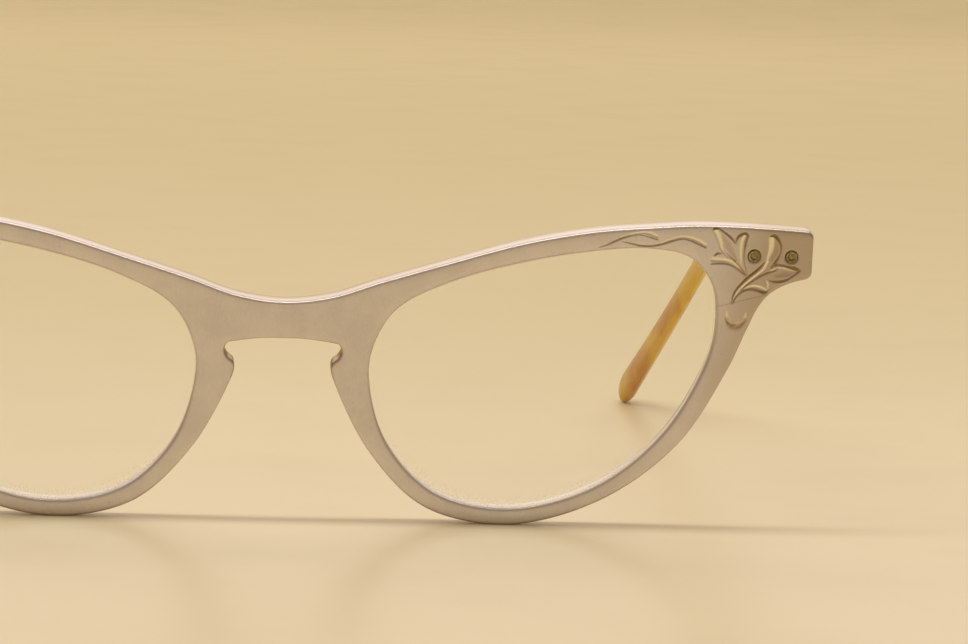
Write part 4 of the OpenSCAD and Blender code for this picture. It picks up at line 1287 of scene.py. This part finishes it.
class GLASSES_OT_bars(bpy.types.Operator):
    """Make the metal bars of the temples"""
    bl_idname = "glasses.bars"
    bl_label = "Temple Bars"

    def execute(self, context):
        s = sizes("temple")
        metal = satin_metal("satin_bar", context.scene.glasses_finishes.satin + 0.02, BAR_GRAIN)
        b, e = s.bar_bevel, BEVEL_WEAR
        corner = np.array([(0, b + e), (e * 0.7, b - e * 0.7), (b - e * 0.7, e * 0.7), (b + e, 0)])
        # Inset from the side and from the top or bottom, round the four corners of the section
        inset = np.concatenate([corner, corner[::-1], corner, corner[::-1]])
        side = np.repeat([1, -1, -1, 1], 4)
        upper = np.repeat([1, 1, -1, -1], 4)
        middle = bar_middle(s)
        rings = []

        def ring(top, bottom, half_t, shrink=1.0):
            """One section between a top and a bottom point, given as depth and height."""
            top, bottom = np.asarray(top), np.asarray(bottom)
            up = (top - bottom) / np.linalg.norm(top - bottom)
            x = middle + side * (half_t - inset[:, 0] * shrink)
            edge = np.where(upper[:, None] > 0, top, bottom)
            flat = edge - upper[:, None] * up * inset[:, 1:2] * shrink
            rings.append(np.stack([x, flat[:, 1], -flat[:, 0]], 1))

        half = s.bar_t / 2
        high, low = (hinge_place()[1] + k * s.bar_hinge_h / 2 for k in (1, -1))
        for back, less in BAR_END:
            depth = s.bar_front + back
            ring((depth, high - less), (depth, low + less), half - less)
        for u in np.linspace(TAPER_START, s.bar_len, 48):
            h = s.bar_tip_h / 2 + (s.bar_hinge_h - s.bar_tip_h) / 2 * (1 - u / s.bar_len) ** 2
            ring(temple_line(s, u, h), temple_line(s, u, -h), half)
        for u in (s.bar_len, s.bar_len + s.tang_len):
            ring(temple_line(s, u, s.tang_h / 2), temple_line(s, u, -s.tang_h / 2), s.tang_t / 2, 0.3)
        points, faces = swept(rings, [rings[0].mean(0), rings[-1].mean(0)])
        worn = np.tile(np.where(np.min(inset, 1) > 0.02, 1.0, 0.25), len(rings))
        for piece in new_pair("temple_bar", "satin", splayed(s, points), faces, "temple_{}", metal, 30):
            set_attribute(piece.data, "edge", np.append(worn, [0, 0]))
        return {"FINISHED"}


TIP_PLAY = 0.05  # between the bar's shoulder and the mouth of the tip
TIP_MOUTH = ((0, 0.18), (0.04, 0.06), (0.16, 0))  # its rounding: how far back, and how far in


class GLASSES_OT_tips(bpy.types.Operator):
    """Make the amber temple tips"""
    bl_idname = "glasses.tips"
    bl_label = "Temple Tips"

    def execute(self, context):
        s = sizes("temple")
        run = s.bend_at + s.bend_r * s.bend_angle + s.tip_drop_len
        round_r = s.tip_end_h / 2
        start = s.bar_len + TIP_PLAY
        middle = bar_middle(s)
        turn = np.linspace(0, 2 * np.pi, 40, endpoint=False)
        bend_y = temple_line(s, s.bend_at, 0)[1]
        fall = bend_y - temple_line(s, run - round_r, 0)[1]

        def rounded(v, power):
            """A sine or cosine to a power: 1 gives an ellipse and less is squarer."""
            return np.sign(v) * np.abs(v) ** power

        def ring(u, shrink, less=0):
            """Section at a distance along the tip: nearly square at the bar and an ellipse past
            the first third, swelling with the cube of the distance, and bowed in by a power of
            how far it has fallen below the bend."""
            k = (u - s.bar_len) / (run - s.bar_len)
            power = 0.5 + 0.5 * min(1, 3 * k)
            half_t = (s.tip_start_t + (s.tip_end_t - s.tip_start_t) * k ** 3) / 2 * shrink - less
            half_h = (s.tip_start_h + (s.tip_end_h - s.tip_start_h) * k ** 3) / 2 * shrink - less
            depth, height = temple_line(s, u, half_h * rounded(np.sin(turn), power))
            bow = s.tip_bow * np.clip((bend_y - height) / fall, 0, None) ** s.tip_bow_power
            x = middle - bow + half_t * rounded(np.cos(turn), power)
            return np.stack([x, height, -depth], 1)

        rings = [ring(start + back, 1, less) for back, less in TIP_MOUTH]
        rings += [ring(u, 1) for u in np.linspace(start + 0.5, run - round_r, 90)]
        swell = np.radians(np.linspace(0, 86, 16)[1:])
        rings += [ring(run - round_r + round_r * np.sin(a), np.cos(a)) for a in swell]
        points, faces = swept(rings, [ring(start, 1).mean(0), ring(run, 0)[0]])
        new_pair("temple_tip", "amber", splayed(s, points), faces, "temple_{}", amber_plastic(), 50)
        return {"FINISHED"}


# The stage

def area_lamp(name, place, aim, size, tint):
    lamp = bpy.data.lights.new(name, "AREA")
    lamp.shape = "RECTANGLE"
    lamp.size, lamp.size_y = size
    lamp.energy = LAMP_POWER
    lamp.color = tint
    made = add_object(name, lamp)
    made.location = place
    made.rotation_euler = (Vector(aim) - Vector(place)).to_track_quat("-Z", "Y").to_euler()


# The floor's reach from the middle, in metres, where it starts to curve up, and its height a
# metre past that
FLOOR_REACH, FLOOR_FLAT, FLOOR_CURVE = 3, 1.2, 0.9
ROOM_LIGHT, ROOM_STRENGTH = (1.0, 0.76, 0.54, 1), 0.38
LAMP_POWER = 6.8  # of each lamp, in watts
SENSOR_W = 36  # of the camera, in millimetres


class GLASSES_OT_stage(bpy.types.Operator):
    """Make the floor, the lamps and the camera"""
    bl_idname = "glasses.stage"
    bl_label = "Stage"

    def execute(self, context):
        stage = context.scene.glasses_stage
        self.floor(stage)
        self.light()
        self.camera(stage)
        context.scene.view_settings.view_transform = "Standard"
        return {"FINISHED"}

    @staticmethod
    def floor(stage):
        """A flat floor that curves up far behind: the height is a parabola past the flat part."""
        x, y = np.meshgrid(np.linspace(-FLOOR_REACH, FLOOR_REACH, 9),
                           np.append(np.linspace(-FLOOR_REACH, FLOOR_FLAT, 12),
                                     np.linspace(FLOOR_FLAT + 0.05, FLOOR_REACH, 24)))
        z = np.clip(y - FLOOR_FLAT, 0, None) ** 2 * FLOOR_CURVE
        points = np.stack([x, y, z], -1).reshape(-1, 3)
        floor = add_mesh("floor", points, grid_faces(*x.shape).tolist())
        floor.data.shade_smooth()
        sh = Shader("pale_floor")
        behind = sh.along("Y")
        drift = sh.noise(7.0, 2.0)
        far = (behind + (drift - 0.5) * 0.1).step(-0.11, 0.2)
        mottle = sh.noise(38, 4.0).step(0.45, 0.7)
        tone = sh.mix(far, stage.floor_near, stage.floor_far)
        tone = sh.mix(behind.step(0.3, 1.15), tone, stage.floor_back)
        tone = sh.mix(mottle * 0.10, tone, np.array(stage.floor_far) * 0.8)
        surface = sh.principled(base_color=tone, roughness=0.34, specular_ior_level=0.22)
        floor.data.materials.append(sh.finish(surface))

    @staticmethod
    def light():
        """An even warm room light, a long soft lamp overhead and a broad one low at the back."""
        world = bpy.data.worlds.new("room")
        world.use_nodes = True
        background = world.node_tree.nodes["Background"]
        background.inputs["Color"].default_value = ROOM_LIGHT
        background.inputs["Strength"].default_value = ROOM_STRENGTH
        bpy.context.scene.world = world
        area_lamp("overhead", place=(-0.1, -0.15, 1.1), aim=(-0.1, 0, 0), size=(1.6, 0.2),
                  tint=(1, 0.985, 0.96))
        area_lamp("back", place=(0, 1.05, 0.75), aim=(0, 0, 0.02), size=(1.9, 1.1),
                  tint=(1, 0.93, 0.87))

    @staticmethod
    def camera(stage):
        camera = bpy.data.cameras.new("camera")
        camera.sensor_width = SENSOR_W
        camera.lens = stage.focal_px / stage.picture_w * SENSOR_W
        camera.clip_start = 0.01
        camera.clip_end = 20
        made = add_object("camera", camera)
        turn = (Matrix.Rotation(-stage.camera_yaw, 4, "Z")
                @ Matrix.Rotation(np.pi / 2 - stage.camera_pitch, 4, "X")
                @ Matrix.Rotation(stage.camera_roll, 4, "Z"))
        place = (stage.camera_x, stage.camera_y, stage.camera_z)
        made.matrix_world = Matrix.Translation(place) @ turn
        bpy.context.scene.camera = made


class GLASSES_PT_panel(bpy.types.Panel):
    """Buttons for each group of pieces"""
    bl_label = "Eyeglasses"
    bl_idname = "GLASSES_PT_panel"
    bl_space_type = "VIEW_3D"
    bl_region_type = "UI"
    bl_category = "Eyeglasses"

    def draw(self, context):
        for maker in OPERATORS:
            self.layout.operator(maker.bl_idname)


GROUPS = {"glasses_front": FrontSizes, "glasses_lens": LensSizes, "glasses_temple": TempleSizes,
          "glasses_finishes": Finishes, "glasses_stage": StageSettings}
OPERATORS = (GLASSES_OT_stage, GLASSES_OT_front, GLASSES_OT_lenses, GLASSES_OT_rivets,
             GLASSES_OT_hinges, GLASSES_OT_bars, GLASSES_OT_tips)


def register():
    for cls in (*GROUPS.values(), *OPERATORS, GLASSES_PT_panel):
        bpy.utils.register_class(cls)
    for name, group in GROUPS.items():
        setattr(bpy.types.Scene, name, PointerProperty(type=group))


def unregister():
    for name in GROUPS:
        delattr(bpy.types.Scene, name)
    for cls in (GLASSES_PT_panel, *reversed(OPERATORS), *reversed(GROUPS.values())):
        bpy.utils.unregister_class(cls)


def main():
    register()
    for maker in OPERATORS:
        group, name = maker.bl_idname.split(".")
        getattr(getattr(bpy.ops, group), name)()


if __name__ == "__main__":
    main()
